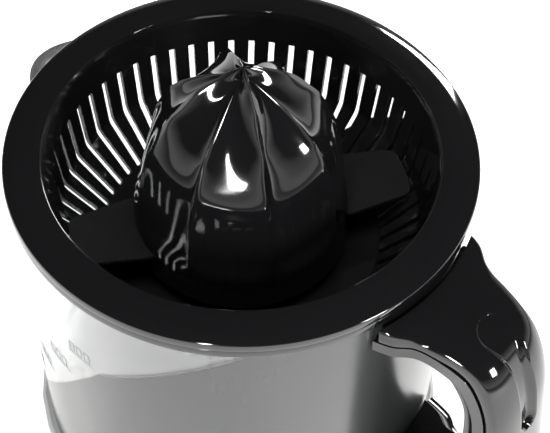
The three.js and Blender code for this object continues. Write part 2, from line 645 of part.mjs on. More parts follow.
function makeLargeCone() {
  const blank = fluted(CONE_RADIUS, coneFoot, CONE_TOP, RIDGES * 6);
  const body = cut(blank, hollow(CONE_RADIUS, coneFoot, CONE_TOP));
  const keys = keyAngles.map((a) => (
    block(smallConeRadius - KEY_DEPTH, CONE_RADIUS - 1.4, -2, 2, coneFoot + 0.5, coneFoot + 10, a)));
  const half = wingRootHalf + 0.6;
  const notches = wingAngles.map((a) => block(CONE_RADIUS - 8, CONE_RADIUS + 4, -half, half,
    coneFoot - 4, wingTop + PRESS_TRAVEL + GAP, a));
  return cut(join(body, ...keys), ...notches);
}

function makeSmallCone() {
  const blank = fluted(smallConeRadius, coneFoot, smallConeTop, RIDGES * 4);
  const body = cut(blank, hollow(smallConeRadius, coneFoot, smallConeTop));
  const hub = rod(SPINDLE_RADIUS + 3.6, collarTop + PRESS_TRAVEL + 1, smallConeTop, 24).intersect(blank);
  const webs = wingAngles.map((a) => block(8, smallConeRadius - 1.4, -1, 1, coneFoot + 8, coneFoot + 20, a));
  const socket = hexRod(14.2, collarTop, spindleTop + GAP);
  const slots = keyAngles.map((a) => block(smallConeRadius - KEY_DEPTH - GAP, CONE_RADIUS, -2 - GAP, 2 + GAP,
    coneFoot - 1, smallConeTop, a));
  return cut(join(body, hub, ...webs), socket, ...slots);
}

function makeSpindle() {
  const post = join(rod(SPINDLE_RADIUS, spindleFoot, collarTop + PRESS_TRAVEL + 0.5, 24),
    rod(SPINDLE_RADIUS + 2.3, floorBottom - 2.3, floorBottom - 0.4, 24), hexRod(13.5, collarTop, spindleTop));
  return cut(post, hexRod(SHAFT_FLATS + 0.6, spindleFoot - 1, shaftTop + GAP - RIM_Z));
}

function makeSweeper() {
  const hub = SPINDLE_RADIUS + RUN + 2.2 + GAP;
  const discTop = floorTop + 3.4;
  const discEdge = CONE_RADIUS - CONE_WALL - 1.4;
  const disc = turned([[hub, floorTop + 0.5], [hub + 4, floorTop + 0.5], [hub + 4, floorTop + 1.4],
    [discEdge, floorTop + 1.4], [discEdge, discTop], [hub + 2.4, discTop], [hub + 2.4, collarTop - 1],
    [hub, collarTop - 1]], 40);
  const wings = wingAngles.map((a) => {
    const tip = Math.sqrt(WING_SPAN ** 2 - wingTipHalf ** 2);
    const plan = [[discEdge - 3.5, -wingRootHalf], [CONE_RADIUS, -wingRootHalf], [tip, -wingTipHalf],
      [WING_SPAN, -wingTipHalf * 0.35], [WING_SPAN, wingTipHalf * 0.35], [tip, wingTipHalf],
      [CONE_RADIUS, wingRootHalf], [discEdge - 3.5, wingRootHalf]];
    const flat = new THREE.ExtrudeGeometry(outline(plan), { depth: WING_THICK, bevelEnabled: false });
    const blade = solid(flat.translate(0, 0, wingTop - WING_THICK).rotateZ(a));
    const riser = block(discEdge - 3.5, discEdge - 1.2, -wingRootHalf, wingRootHalf, floorTop + 1.5,
      wingTop - 0.2, a);
    return join(blade, riser);
  });
  return join(disc, ...wings);
}

// ---- Assembly ------------------------------------------------------------------------------
addPiece(press, 'base_skirt', makeSkirt(), 'brushedSteel');
addPiece(press, 'base_shell', makeBaseShell(), 'silver');
addPiece(press, 'base_plate', makeBasePlate(), 'satinBlack');
addCopies(press, 'foot', makeFoot(), 'rubber', footPlaces);
addCopies(press, 'base_screw', makeScrew(3.4, 1.6, 15), 'steel', deckScrews.map(([x, y]) => [x, y, screwSeat - GAP]));
addPiece(press, 'cord_inlet', makeInlet(), 'rubber');

addPiece(press, 'gear_frame', makeFrame(), 'steel');
addCopies(press, 'frame_screw', makeScrew(3.2, 1.4, 14), 'steel',
  framePosts().map(([x, y]) => [x, y, framePlate - GAP]));
addPiece(press, 'motor_stator', makeStator(), 'steel');
addPiece(press, 'motor_coil', makeCoil(), 'copper');
addPiece(press, 'motor_bracket', makeMotorBracket(), 'steel');
const bracketUnder = stackBottom - 2 - GAP;
addPiece(press, 'motor_screw_1', makeScrew(3, 1.5, framePlate + 2 - bracketUnder), 'steel')
  .position.set(...motorScrews[0], bracketUnder - GAP);
addPiece(press, 'motor_screw_2', makeScrew(3, 1.5, framePlate + 2 - stackBottom), 'steel')
  .position.set(...motorScrews[1], stackBottom - GAP);
addPiece(press, 'motor_rotor', turned([[2 + GAP, stackBottom], [11.6, stackBottom], [11.6, stackTop],
  [2 + GAP, stackTop]], 28), 'steel').position.set(...motorAxis, 0);
addPiece(press, 'motor_shaft', rod(2, 4, topGear + 7, 14), 'steel').position.set(...motorAxis, 0);
addPiece(press, 'motor_pinion', makePinion(), 'nylon').position.set(...motorAxis, 0);
addPiece(press, 'idler_gear', makeIdler(), 'nylon').position.set(...idlerAxis, 0);
addPiece(press, 'idler_pin', makeIdlerPin(), 'steel').position.set(...idlerAxis, 0);
addPiece(press, 'drive_gear', makeDriveGear(), 'nylon');
addPiece(press, 'return_spring', makeSpring(springBottom, springTop - GAP), 'steel');
addPiece(press, 'spring_washer', makeWasher(SHAFT_RADIUS + 0.15 + GAP, 8.6, springTop, springTop + 1.4), 'steel');
addPiece(press, 'drive_shaft', makeShaft(), 'steel');
addPiece(press, 'lower_bush', makeWasher(SHAFT_RADIUS + RUN, 7, framePlate - 0.5, framePlate + 3), 'nylon');
addPiece(press, 'upper_bush', makeUpperBush(), 'nylon');
addPiece(press, 'shaft_seal', makeSeal(), 'rubber');
addPiece(press, 'start_switch', makeSwitch(), 'satinBlack');
addPiece(press, 'switch_button', makeSwitchButton(), 'nylon');

addPiece(upper, 'jug', makeJug(), 'clear');
addPiece(upper, 'jug_collar', makeCollar(), 'glossBlack');
addPiece(upper, 'handle_core', makeHandleCore(), 'glossBlack');
addPiece(upper, 'handle_cover', makeHandleCover(), 'glossBlack');
handleBosses().forEach((z, i) => {
  const screw = addPiece(upper, `handle_screw_${i + 1}`, makeScrew(3, 1.5, 14), 'steel');
  screw.rotation.y = -Math.PI / 2;
  screw.position.set(jugRadius(z) + 11 + GAP + 3.8, 0, z);
});

addPiece(upper, 'sieve_basket', makeBasket(), 'glossBlack');
addPiece(upper, 'sweeper', makeSweeper(), 'glossBlack');
addPiece(upper, 'drive_spindle', makeSpindle(), 'nylon');
addPiece(upper, 'small_cone', makeSmallCone(), 'glossBlack');
addPiece(upper, 'large_cone', makeLargeCone(), 'glossBlack');

export default press;
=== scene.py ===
import json
import math

import bmesh
import bpy
from mathutils import Matrix, Vector


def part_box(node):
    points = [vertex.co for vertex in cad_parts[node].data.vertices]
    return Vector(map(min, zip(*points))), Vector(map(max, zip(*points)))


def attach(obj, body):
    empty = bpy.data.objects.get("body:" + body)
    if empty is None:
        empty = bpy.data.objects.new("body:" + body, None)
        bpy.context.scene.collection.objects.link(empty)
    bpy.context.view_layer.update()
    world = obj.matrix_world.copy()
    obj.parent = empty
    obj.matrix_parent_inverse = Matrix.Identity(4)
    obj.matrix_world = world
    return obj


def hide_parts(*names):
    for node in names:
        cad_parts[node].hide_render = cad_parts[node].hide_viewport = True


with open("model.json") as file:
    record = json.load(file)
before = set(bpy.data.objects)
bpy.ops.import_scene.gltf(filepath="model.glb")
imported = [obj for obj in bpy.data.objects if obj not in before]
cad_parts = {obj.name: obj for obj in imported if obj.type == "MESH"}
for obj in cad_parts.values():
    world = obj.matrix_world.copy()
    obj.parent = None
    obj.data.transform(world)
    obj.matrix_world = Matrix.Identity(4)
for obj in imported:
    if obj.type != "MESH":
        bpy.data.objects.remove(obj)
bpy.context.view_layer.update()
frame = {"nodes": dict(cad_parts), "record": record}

bl_info = {
    "name": "Citrus Press Juicer",
    "version": (1, 0, 0),
    "blender": (4, 5, 0),
    "location": "View3D > Sidebar > Juicer",
    "description": "Builds a citrus press with its jug, handle, basket and motor base",
    "category": "Add Mesh",
}

MM = 0.001


# ---- Places from the frame ---------------------------------------------------------------
def size_of(node):
    """Lowest and highest corner of a CAD node."""
    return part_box(node)


RIM = size_of("sieve_basket")[1].z - 1.3 * MM
JUG_TOP = size_of("jug")[1].z
JUG_FOOT = size_of("jug")[0].z
RIM_RADIUS = size_of("sieve_basket")[1].x
FLOOR_Z = size_of("foot_1")[0].z


# ---- Settings ----------------------------------------------------------------------------
def linear(text):
    """An sRGB hex colour as linear RGBA."""
    parts = [int(text[i:i + 2], 16) / 255 for i in (1, 3, 5)]
    return (*[c / 12.92 if c <= 0.04045 else ((c + 0.055) / 1.055) ** 2.4 for c in parts], 1.0)


def length(name, description, value):
    return bpy.props.FloatProperty(name=name, description=description, default=value, unit="LENGTH",
                                   precision=5)


def number(name, description, value):
    return bpy.props.FloatProperty(name=name, description=description, default=value)


def colour(name, description, value):
    return bpy.props.FloatVectorProperty(name=name, description=description, default=linear(value),
                                         subtype="COLOR", size=4, min=0.0, max=1.0)


class JuicerBasketSettings(bpy.types.PropertyGroup):
    mouth: length("Mouth radius", "Inner edge of the flat rim", 0.07)
    wall: length("Wall", "Thickness of the basket's wall", 0.0018)
    wall_foot: length("Wall foot radius", "Inside radius where the wall meets the sloped floor", 0.0645)
    flat_floor: length("Flat floor radius", "Outer edge of the flat floor", 0.0505)
    depth: length("Depth", "Rim to flat floor", 0.044)
    floor_rise: length("Floor rise", "Height of the sloped floor", 0.014)
    slot_width: length("Slot width", "Width of one juice slot", 0.0022)
    slot_top: length("Slot top", "Upper end of the slots below the rim", 0.012)
    slots: bpy.props.IntProperty(name="Slots", description="Number of juice slots", default=56)


class JuicerConeSettings(bpy.types.PropertyGroup):
    radius: length("Foot radius", "Radius of the smooth skirt", 0.0388)
    ridge_turn: bpy.props.FloatProperty(name="Ridge turn", description="Angle of the first ridge",
                                        default=math.radians(10), subtype="ANGLE")
    wing_span: length("Wing span", "Tip radius of the sweeper's wings", 0.0625)
    wing_root: length("Wing root", "Half width of a wing at the cone", 0.0142)
    wing_tip: length("Wing tip", "Half width of a wing at its tip", 0.011)
    wing_thick: length("Wing thickness", "Thickness of a wing", 0.0015)


class JuicerJugSettings(bpy.types.PropertyGroup):
    radius: length("Radius", "Outside radius at the jug's top edge", 0.0822)
    taper: number("Taper", "Radius lost for each unit of height", 0.0636)
    wall: length("Wall", "Thickness of the jug's wall", 0.0024)
    spout_reach: length("Spout reach", "Spout tip beyond the wall", 0.0134)
    spout_half: length("Spout half width", "Half width of the spout at the wall", 0.022)
    spout_drop: length("Spout drop", "Height over which the spout runs into the wall", 0.040)
    ink: colour("Scale ink", "Colour of the printed scale", "#7C7D7E")


class JuicerHandleSettings(bpy.types.PropertyGroup):
    reach: length("Reach", "Outermost grip beyond the jug's top edge", 0.0466)
    grip: length("Grip depth", "Depth of the core under the cover", 0.012)
    cover: length("Cover depth", "Thickness of the cover", 0.007)
    grip_half: length("Grip half width", "Half width of the grip", 0.0165)
    root_half: length("Root half width", "Half width where the handle meets the jug", 0.026)
    crown: length("Crown", "How far the cover's middle stands proud of its edges", 0.0038)
    recess: length("Recess depth", "Depth of the thumb recess", 0.0027)


class JuicerBaseSettings(bpy.types.PropertyGroup):
    foot_radius: length("Foot radius", "Radius of the base where it is widest", 0.087)
    lip_radius: length("Lip radius", "Radius of the base's upper edge", 0.0774)
    skirt_wall: length("Sleeve", "Thickness of the metal sleeve", 0.0008)
    brush_ring: length("Brush spacing", "Spacing of the fine lines brushed round the metal", 0.0004)


class JuicerLookSettings(bpy.types.PropertyGroup):
    black: colour("Black", "Moulded gloss black", "#0B0B0C")
    satin: colour("Satin black", "Moulded satin black", "#131314")
    clear: colour("Clear plastic", "Tint of the jug", "#EEF0F0")
    # Opaque grey laid over the clear jug wall below a border that is highest on the handle side and drops
    # towards the spout; its darker streaks are random noise
    film: colour("Grey film", "Grey film on the jug's handle side", "#2E2F2F")
    film_dark: colour("Grey film, dark", "Darker streaks of the grey film", "#292A2A")
    silver: colour("Silver grey", "Silver-grey moulded housing", "#8F9191")
    steel: colour("Steel", "Bare and brushed steel", "#C9C8C5")
    copper: colour("Copper", "Enamelled winding wire", "#A4552C")
    nylon: colour("Nylon", "Moulded natural nylon", "#E0DBCB")
    rubber: colour("Rubber", "Moulded black rubber", "#1B1B1B")
    floor: colour("Floor", "Pale studio floor", "#F5F5F4")
    key: number("Key power", "Power of the two side softboxes, in watts", 34.0)
    top: number("Top power", "Power of the overhead softbox, in watts", 44.0)


def settings(name):
    """The scene's settings of one group of pieces."""
    return getattr(bpy.context.scene, "juicer_" + name)


# ---- Colours and shader nodes ------------------------------------------------------------
def dimmed(shade, share):
    """The same colour with only this share of its light."""
    return [c * share for c in shade[:3]] + [1.0]


def add(tree, kind, values=None, links=None, **settings_):
    """One shader node with its settings, its socket values and what feeds its sockets."""
    node = tree.nodes.new(kind)
    for key, value in settings_.items():
        setattr(node, key, value)
    for key, value in (values or {}).items():
        node.inputs[key].default_value = value
    for key, source in (links or {}).items():
        tree.links.new(source, node.inputs[key])
    return node


def blank(name, surface, **values):
    """A material with one Principled shader and its constants."""
    material = bpy.data.materials.new(name)
    material.use_nodes = True
    tree = material.node_tree
    shader = tree.nodes["Principled BSDF"]
    shader.inputs["Base Color"].default_value = surface
    for key, value in values.items():
        shader.inputs[key.replace("_", " ")].default_value = value
    return material, tree, shader


def place(tree, scale=(1, 1, 1)):
    """Object coordinates in metres, stretched per axis."""
    coords = add(tree, "ShaderNodeTexCoord")
    mapping = add(tree, "ShaderNodeMapping", {"Scale": scale}, {"Vector": coords.outputs["Object"]})
    return mapping.outputs["Vector"]


def grain(tree, vector, size, detail=3.0):
    """Noise whose blobs are about this size, in metres."""
    noise = add(tree, "ShaderNodeTexNoise", {"Scale": 1 / size, "Detail": detail}, {"Vector": vector})
    return noise.outputs["Fac"]


def span(tree, factor, low, high):
    """A 0 to 1 factor spread between two values."""
    spread = add(tree, "ShaderNodeMapRange", {"To Min": low, "To Max": high}, {"Value": factor})
    return spread.outputs["Result"]


def relief(tree, shader, height, depth, strength):
    """Bump of this real depth, in metres."""
    bump = add(tree, "ShaderNodeBump", {"Distance": depth, "Strength": strength}, {"Height": height})
    tree.links.new(bump.outputs["Normal"], shader.inputs["Normal"])


def tint(tree, shader, factor, dark, light):
    """Base colour that drifts between two shades."""
    mix = add(tree, "ShaderNodeMix", {"A": dark, "B": light}, {"Factor": factor}, data_type="RGBA")
    tree.links.new(mix.outputs["Result"], shader.inputs["Base Color"])


def gloss_black():
    """Polished ABS: mirror-like, with a faint waviness and fine wiping marks in its reflections."""
    look = settings("look")
    material, tree, shader = blank("abs_polished_mould", look.black, IOR=1.53, Roughness=0.06)
    spot = place(tree)
    tint(tree, shader, grain(tree, spot, 0.03), dimmed(look.black, 0.8), look.black)
    tree.links.new(span(tree, grain(tree, spot, 0.006, 5), 0.045, 0.09), shader.inputs["Roughness"])
    relief(tree, shader, grain(tree, spot, 0.009, 1), 0.00006, 0.25)
    return material


def wing_black():
    """ABS from a lightly eroded mould: its small flats look duller than the cone."""
    look = settings("look")
    material, tree, shader = blank("abs_semi_gloss_mould", look.black, IOR=1.53, Roughness=0.22)
    spot = place(tree)
    tint(tree, shader, grain(tree, spot, 0.02), look.satin, look.black)
    tree.links.new(span(tree, grain(tree, spot, 0.003, 4), 0.17, 0.27), shader.inputs["Roughness"])
    relief(tree, shader, grain(tree, spot, 0.0006), 0.00001, 0.3)
    return material


def satin_black():
    """ABS from a spark-eroded mould: fine even texture that spreads highlights."""
    look = settings("look")
    material, tree, shader = blank("abs_satin_mould", look.satin, IOR=1.53, Roughness=0.42)
    spot = place(tree)
    tint(tree, shader, grain(tree, spot, 0.012), look.black, look.satin)
    tree.links.new(span(tree, grain(tree, spot, 0.004), 0.36, 0.5), shader.inputs["Roughness"])
    relief(tree, shader, grain(tree, spot, 0.0005), 0.00003, 0.6)
    return material


def silver_plastic():
    """ABS with silver pigment: light grey, with tiny bright flakes and a soft shine."""
    look = settings("look")
    material, tree, shader = blank("abs_silver_pigment", look.silver, IOR=1.53, Roughness=0.32,
                                   Metallic=0.25)
    spot = place(tree)
    tint(tree, shader, grain(tree, spot, 0.0004, 2), linear("#A9AAA9"), look.silver)
    tree.links.new(span(tree, grain(tree, spot, 0.003), 0.27, 0.38), shader.inputs["Roughness"])
    relief(tree, shader, grain(tree, spot, 0.0005), 0.00002, 0.3)
    return material


def clear_plastic():
    """Moulded SAN: clear and glossy, with a trace of haze. Where the overlay zone is 1, the wall is opaque
    grey instead.
    """
    look = settings("look")
    material, tree, shader = blank("san_clear_mould", look.clear, IOR=1.57, Roughness=0.06,
                                   Transmission_Weight=0.96)
    spot = place(tree)
    tree.links.new(span(tree, grain(tree, spot, 0.02), 0.03, 0.1), shader.inputs["Roughness"])
    relief(tree, shader, grain(tree, place(tree, (1, 1, 0.3)), 0.014, 1), 0.00004, 0.25)
    coat = add(tree, "ShaderNodeBsdfPrincipled", {"Roughness": 0.2, "IOR": 1.45})
    film = grain(tree, place(tree, (1, 1, 0.1)), 0.004, 4)
    shades = add(tree, "ShaderNodeMix", {"A": look.film_dark, "B": look.film}, {"Factor": film},
                 data_type="RGBA")
    tree.links.new(shades.outputs["Result"], coat.inputs["Base Color"])
    mixed = add(tree, "ShaderNodeMixShader", None,
                {0: film_zone(tree), 1: shader.outputs["BSDF"], 2: coat.outputs["BSDF"]})
    tree.links.new(mixed.outputs["Shader"], tree.nodes["Material Output"].inputs["Surface"])
    return material


def maths(tree, kind, a, b=None):
    """One math step on values or sockets."""
    node = add(tree, "ShaderNodeMath", operation=kind)
    for index, value in enumerate((a, b)):
        if value is None:
            continue
        if isinstance(value, (int, float)):
            node.inputs[index].default_value = value
        else:
            tree.links.new(value, node.inputs[index])
    return node.outputs["Value"]


def film_zone(tree):
    """1 where the opaque grey overlay covers the wall: all of the handle side, and less of it towards the
    spout.
    """
    coords = add(tree, "ShaderNodeTexCoord").outputs["Object"]
    parts = add(tree, "ShaderNodeSeparateXYZ", None, {"Vector": coords})
    x, y, z = (parts.outputs[axis] for axis in "XYZ")
    squares = [maths(tree, "MULTIPLY", axis, axis) for axis in (x, y)]
    radius = maths(tree, "SQRT", maths(tree, "ADD", *squares))
    facing = maths(tree, "DIVIDE", x, radius)
    slope = maths(tree, "SUBTRACT", maths(tree, "MULTIPLY", facing, 0.079),
                  maths(tree, "MULTIPLY", maths(tree, "ABSOLUTE", facing), 0.021))
    border = maths(tree, "ADD", slope, RIM - 0.047)
    above = maths(tree, "SUBTRACT", border, z)
    soft = add(tree, "ShaderNodeMapRange", {"From Min": -0.0003, "From Max": 0.0005}, {"Value": above})
    outer = add(tree, "ShaderNodeMapRange", {"From Min": 0.060, "From Max": 0.062}, {"Value": radius})
    return maths(tree, "MULTIPLY", soft.outputs["Result"], outer.outputs["Result"])


def brushed_steel():
    """Stainless sheet brushed round the axis: long fine lines that draw light out into a vertical band."""
    look = settings("look")
    material, tree, shader = blank("stainless_brushed", look.steel, Metallic=1.0, Roughness=0.3,
                                   Anisotropic=0.6)
    ring = settings("base").brush_ring
    lines = grain(tree, place(tree, (0.02, 0.02, 1)), ring, 2)
    drift = grain(tree, place(tree), 0.03)
    tint(tree, shader, drift, dimmed(look.steel, 0.9), look.steel)
    tree.links.new(span(tree, lines, 0.22, 0.42), shader.inputs["Roughness"])
    relief(tree, shader, lines, 0.00002, 0.35)
    return material


def plain_steel():
    """Zinc-plated steel: grey with slightly darker patches, and a soft broken shine."""
    look = settings("look")
    material, tree, shader = blank("steel_zinc_plated", look.steel, Metallic=1.0, Roughness=0.35)
    spot = place(tree)
    tint(tree, shader, grain(tree, spot, 0.004, 6), linear("#8C8D8E"), linear("#B9BABA"))
    tree.links.new(span(tree, grain(tree, spot, 0.002), 0.28, 0.45), shader.inputs["Roughness"])
    relief(tree, shader, grain(tree, spot, 0.0008), 0.00001, 0.4)
    return material


def laminated_steel():
    """Stacked motor sheet under varnish: thin level lines with a brownish film."""
    material, tree, shader = blank("steel_laminated_varnish", linear("#5B5854"), Metallic=0.9, Roughness=0.4,
                                   Coat_Weight=0.3, Coat_Roughness=0.2)
    sheets = add(tree, "ShaderNodeTexWave", {"Scale": 320.0, "Distortion": 0.4}, {"Vector": place(tree)},
                 bands_direction="Z").outputs["Fac"]
    tint(tree, shader, sheets, linear("#3A3733"), linear("#77736C"))
    relief(tree, shader, sheets, 0.00006, 0.6)
    return material


def copper_winding():
    """Turns of enamelled wire: round ridges side by side with a warm clear coat, and painted shade that
    darkens the colour in the grooves between turns.
    """
    look = settings("look")
    material, tree, shader = blank("copper_enamelled", look.copper, Metallic=1.0, Roughness=0.25,
                                   Coat_Weight=0.8, Coat_Roughness=0.1)
    turns_and_groove_shade = add(tree, "ShaderNodeTexWave", {"Scale": 420.0, "Distortion": 1.2, "Detail": 2.0},
                {"Vector": place(tree)}, bands_direction="X").outputs["Fac"]
    # painted shade: the copper darkens to deep brown in the grooves between turns, where the bump is low
    tint(tree, shader, turns_and_groove_shade, linear("#6E3216"), look.copper)
    relief(tree, shader, turns_and_groove_shade, 0.0002, 0.8)
    return material


def nylon():
    """Natural nylon: off-white and slightly see-through at its edges, with a soft sheen."""
    look = settings("look")
    material, tree, shader = blank("nylon_natural_mould", look.nylon, IOR=1.53, Roughness=0.38,
                                   Subsurface_Weight=0.2)
    shader.inputs["Subsurface Radius"].default_value = (0.002, 0.0018, 0.0014)
    spot = place(tree)
    tint(tree, shader, grain(tree, spot, 0.006), linear("#D3CDBB"), look.nylon)
    relief(tree, shader, grain(tree, spot, 0.0007), 0.00002, 0.4)
    return material


def rubber():
    """Moulded rubber: matt, with a faint dusty bloom."""
    look = settings("look")
    material, tree, shader = blank("rubber_moulded", look.rubber, IOR=1.5, Roughness=0.75)
    spot = place(tree)
    tint(tree, shader, grain(tree, spot, 0.003, 5), look.rubber, linear("#2A2A2A"))
    tree.links.new(span(tree, grain(tree, spot, 0.001), 0.68, 0.85), shader.inputs["Roughness"])
    relief(tree, shader, grain(tree, spot, 0.0004), 0.00004, 0.5)
    return material


def scale_ink():
    """Screen ink on the jug: flat grey with small breaks."""
    ink = settings("jug").ink
    material, tree, shader = blank("ink_screen_printed", ink, IOR=1.5, Roughness=0.5)
    tint(tree, shader, grain(tree, place(tree), 0.0006), dimmed(ink, 0.7), ink)
    return material


def floor_paint():
    """Seamless paper: near white, matt, with a barely visible drift."""
    shade = settings("look").floor
    material, tree, shader = blank("paper_seamless", shade, IOR=1.45, Roughness=0.85)
    tint(tree, shader, grain(tree, place(tree), 0.4), dimmed(shade, 0.985), shade)
    return material


MAKERS = {
    "gloss_black": gloss_black, "wing_black": wing_black, "satin_black": satin_black,
    "silver_plastic": silver_plastic, "clear_jug": clear_plastic,
    "brushed_steel": brushed_steel, "plain_steel": plain_steel, "laminated_steel": laminated_steel,
    "copper_winding": copper_winding, "nylon": nylon, "rubber": rubber, "ink": scale_ink,
    "floor": floor_paint,
}
made_materials = {}


def material(name):
    """The named finish, made once."""
    if name not in made_materials:
        made_materials[name] = MAKERS[name]()
    return made_materials[name]


# ---- Meshes ------------------------------------------------------------------------------
def piece(name, verts, faces, look, sharp=32, bevel=0.0):
    """A closed mesh object with outward faces, sharp edges over an angle and an optional edge round."""
    if not faces:
        raise RuntimeError(f"{name} has no faces")
    mesh = bpy.data.meshes.new(name)
    mesh.from_pydata([Vector(v) for v in verts], [], faces)
    edit = bmesh.new()
    edit.from_mesh(mesh)
    bmesh.ops.remove_doubles(edit, verts=edit.verts, dist=2e-6)
    bmesh.ops.recalc_face_normals(edit, faces=edit.faces)
    edit.to_mesh(mesh)
    edit.free()
    mesh.shade_smooth()
    mesh.set_sharp_from_angle(angle=math.radians(sharp))
    shape = bpy.data.objects.new(name, mesh)
    bpy.context.scene.collection.objects.link(shape)
    if bevel:
        rounding = shape.modifiers.new("edge_round", "BEVEL")
        rounding.width = bevel
        rounding.segments = 2
        rounding.limit_method = "ANGLE"
        rounding.angle_limit = math.radians(sharp)
        rounding.harden_normals = True
    mesh.materials.append(material(look))
    return shape


def fillet(points, closed=True, steps=4):
    """A profile of (radius, height, round) with each corner rounded by its own radius."""
    out = []
    count = len(points)
    for i, (r, z, bend) in enumerate(points):
        here = Vector((r, z))
        last, after = points[(i - 1) % count], points[(i + 1) % count]
        if not bend or (not closed and i in (0, count - 1)):
            out.append((r, z))
            continue
        back, ahead = Vector(last[:2]) - here, Vector(after[:2]) - here
        turn = back.angle(ahead) / 2
        cut = min(bend / max(math.tan(turn), 0.05), back.length * 0.49, ahead.length * 0.49)
        start, end = here + back.normalized() * cut, here + ahead.normalized() * cut
        for k in range(steps + 1):
            t = k / steps
            out.append(tuple(start * (1 - t) ** 2 + here * 2 * t * (1 - t) + end * t ** 2))
    return out


def lathe(profile, sides):
    """Verts and faces of a closed profile turned about Z."""
    verts, faces = [], []
    count = len(profile)
    for j in range(sides):
        a = 2 * math.pi * j / sides
        verts += [(r * math.cos(a), r * math.sin(a), z) for r, z in profile]
    for j in range(sides):
        k = (j + 1) % sides
        for i in range(count):
            n = (i + 1) % count
            faces.append((j * count + i, j * count + n, k * count + n, k * count + i))
    return verts, faces


def moved(verts, x, y):
    return [(v[0] + x, v[1] + y, v[2]) for v in verts]


def tube(rings, closed=False):
    """Verts and faces through rings of equal length, capped at both ends unless closed."""
    count = len(rings[0])
    verts = [p for ring in rings for p in ring]
    faces = []
    total = len(rings)
    for j in range(total if closed else total - 1):
        k = (j + 1) % total
        for i in range(count):
            n = (i + 1) % count
            faces.append((j * count + i, k * count + i, k * count + n, j * count + n))
    if not closed:
        faces.append(tuple(range(count))[::-1])
        faces.append(tuple(range((total - 1) * count, total * count)))
    return verts, faces


def join_shapes(*shapes):
    """One verts and faces pair from several."""
    verts, faces = [], []
    for more, cells in shapes:
        base = len(verts)
        verts += list(more)
        faces += [tuple(i + base for i in cell) for cell in cells]
    return verts, faces


def spline(points, count):
    """Catmull-Rom curve through points, with uniform parameters."""
    out = []
    last = len(points) - 1
    for i in range(count + 1):
        p = last * i / count
        k = min(int(p), last - 1)
        t = p - k
        p1, p2 = points[k], points[k + 1]
        p0 = points[max(k - 1, 0)]
        p3 = points[min(k + 2, last)]
        out.append(tuple(0.5 * (2 * b + (c - a) * t + (2 * a - 5 * b + 4 * c - d) * t * t
                                + (3 * b - 3 * c + d - a) * t ** 3) for a, b, c, d in zip(p0, p1, p2, p3)))
    return out


def mix(a, b, t):
    """The value at t on the way from a to b."""
    return a + (b - a) * t


def step(x, low, high):
    """0 below low, 1 above high and smooth between."""
    t = min(max((x - low) / (high - low), 0.0), 1.0)
    return t * t * (3 - 2 * t)


def table(points, x):
    """Straight-line lookup in rising (x, y) pairs."""
    if x <= points[0][0]:
        return points[0][1]
    for (x0, y0), (x1, y1) in zip(points, points[1:]):
        if x <= x1:
            return mix(y0, y1, (x - x0) / (x1 - x0))
    return points[-1][1]


def finish_piece(shape, body, slot, *nodes):
    """The piece rides on its body and stands for its CAD nodes, which are hidden. The slot is not used."""
    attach(shape, body)
    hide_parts(*nodes)
    return shape


# ---- Basket ------------------------------------------------------------------------------
def basket_rows(s):
    """Inner and outer rows of the slotted zone, from the slots' upper end to the flat floor."""
    bend = -s.depth + s.floor_rise
    upper_radius = mix(s.mouth - 0.5 * MM, s.wall_foot, (-s.slot_top + 1.2 * MM) / (bend + 1.2 * MM))
    path = fillet([(upper_radius, -s.slot_top, 0), (s.wall_foot, bend, 5 * MM), (s.flat_floor, -s.depth, 0)],
                  closed=False, steps=6)
    inner = [(r, RIM + z) for r, z in path]
    outer = []
    for i, (r, z) in enumerate(inner):
        a, b = Vector(inner[max(i - 1, 0)]), Vector(inner[min(i + 1, len(inner) - 1)])
        along = (b - a).normalized()
        outer.append((r - along.y * s.wall, z + along.x * s.wall))
    return inner, outer


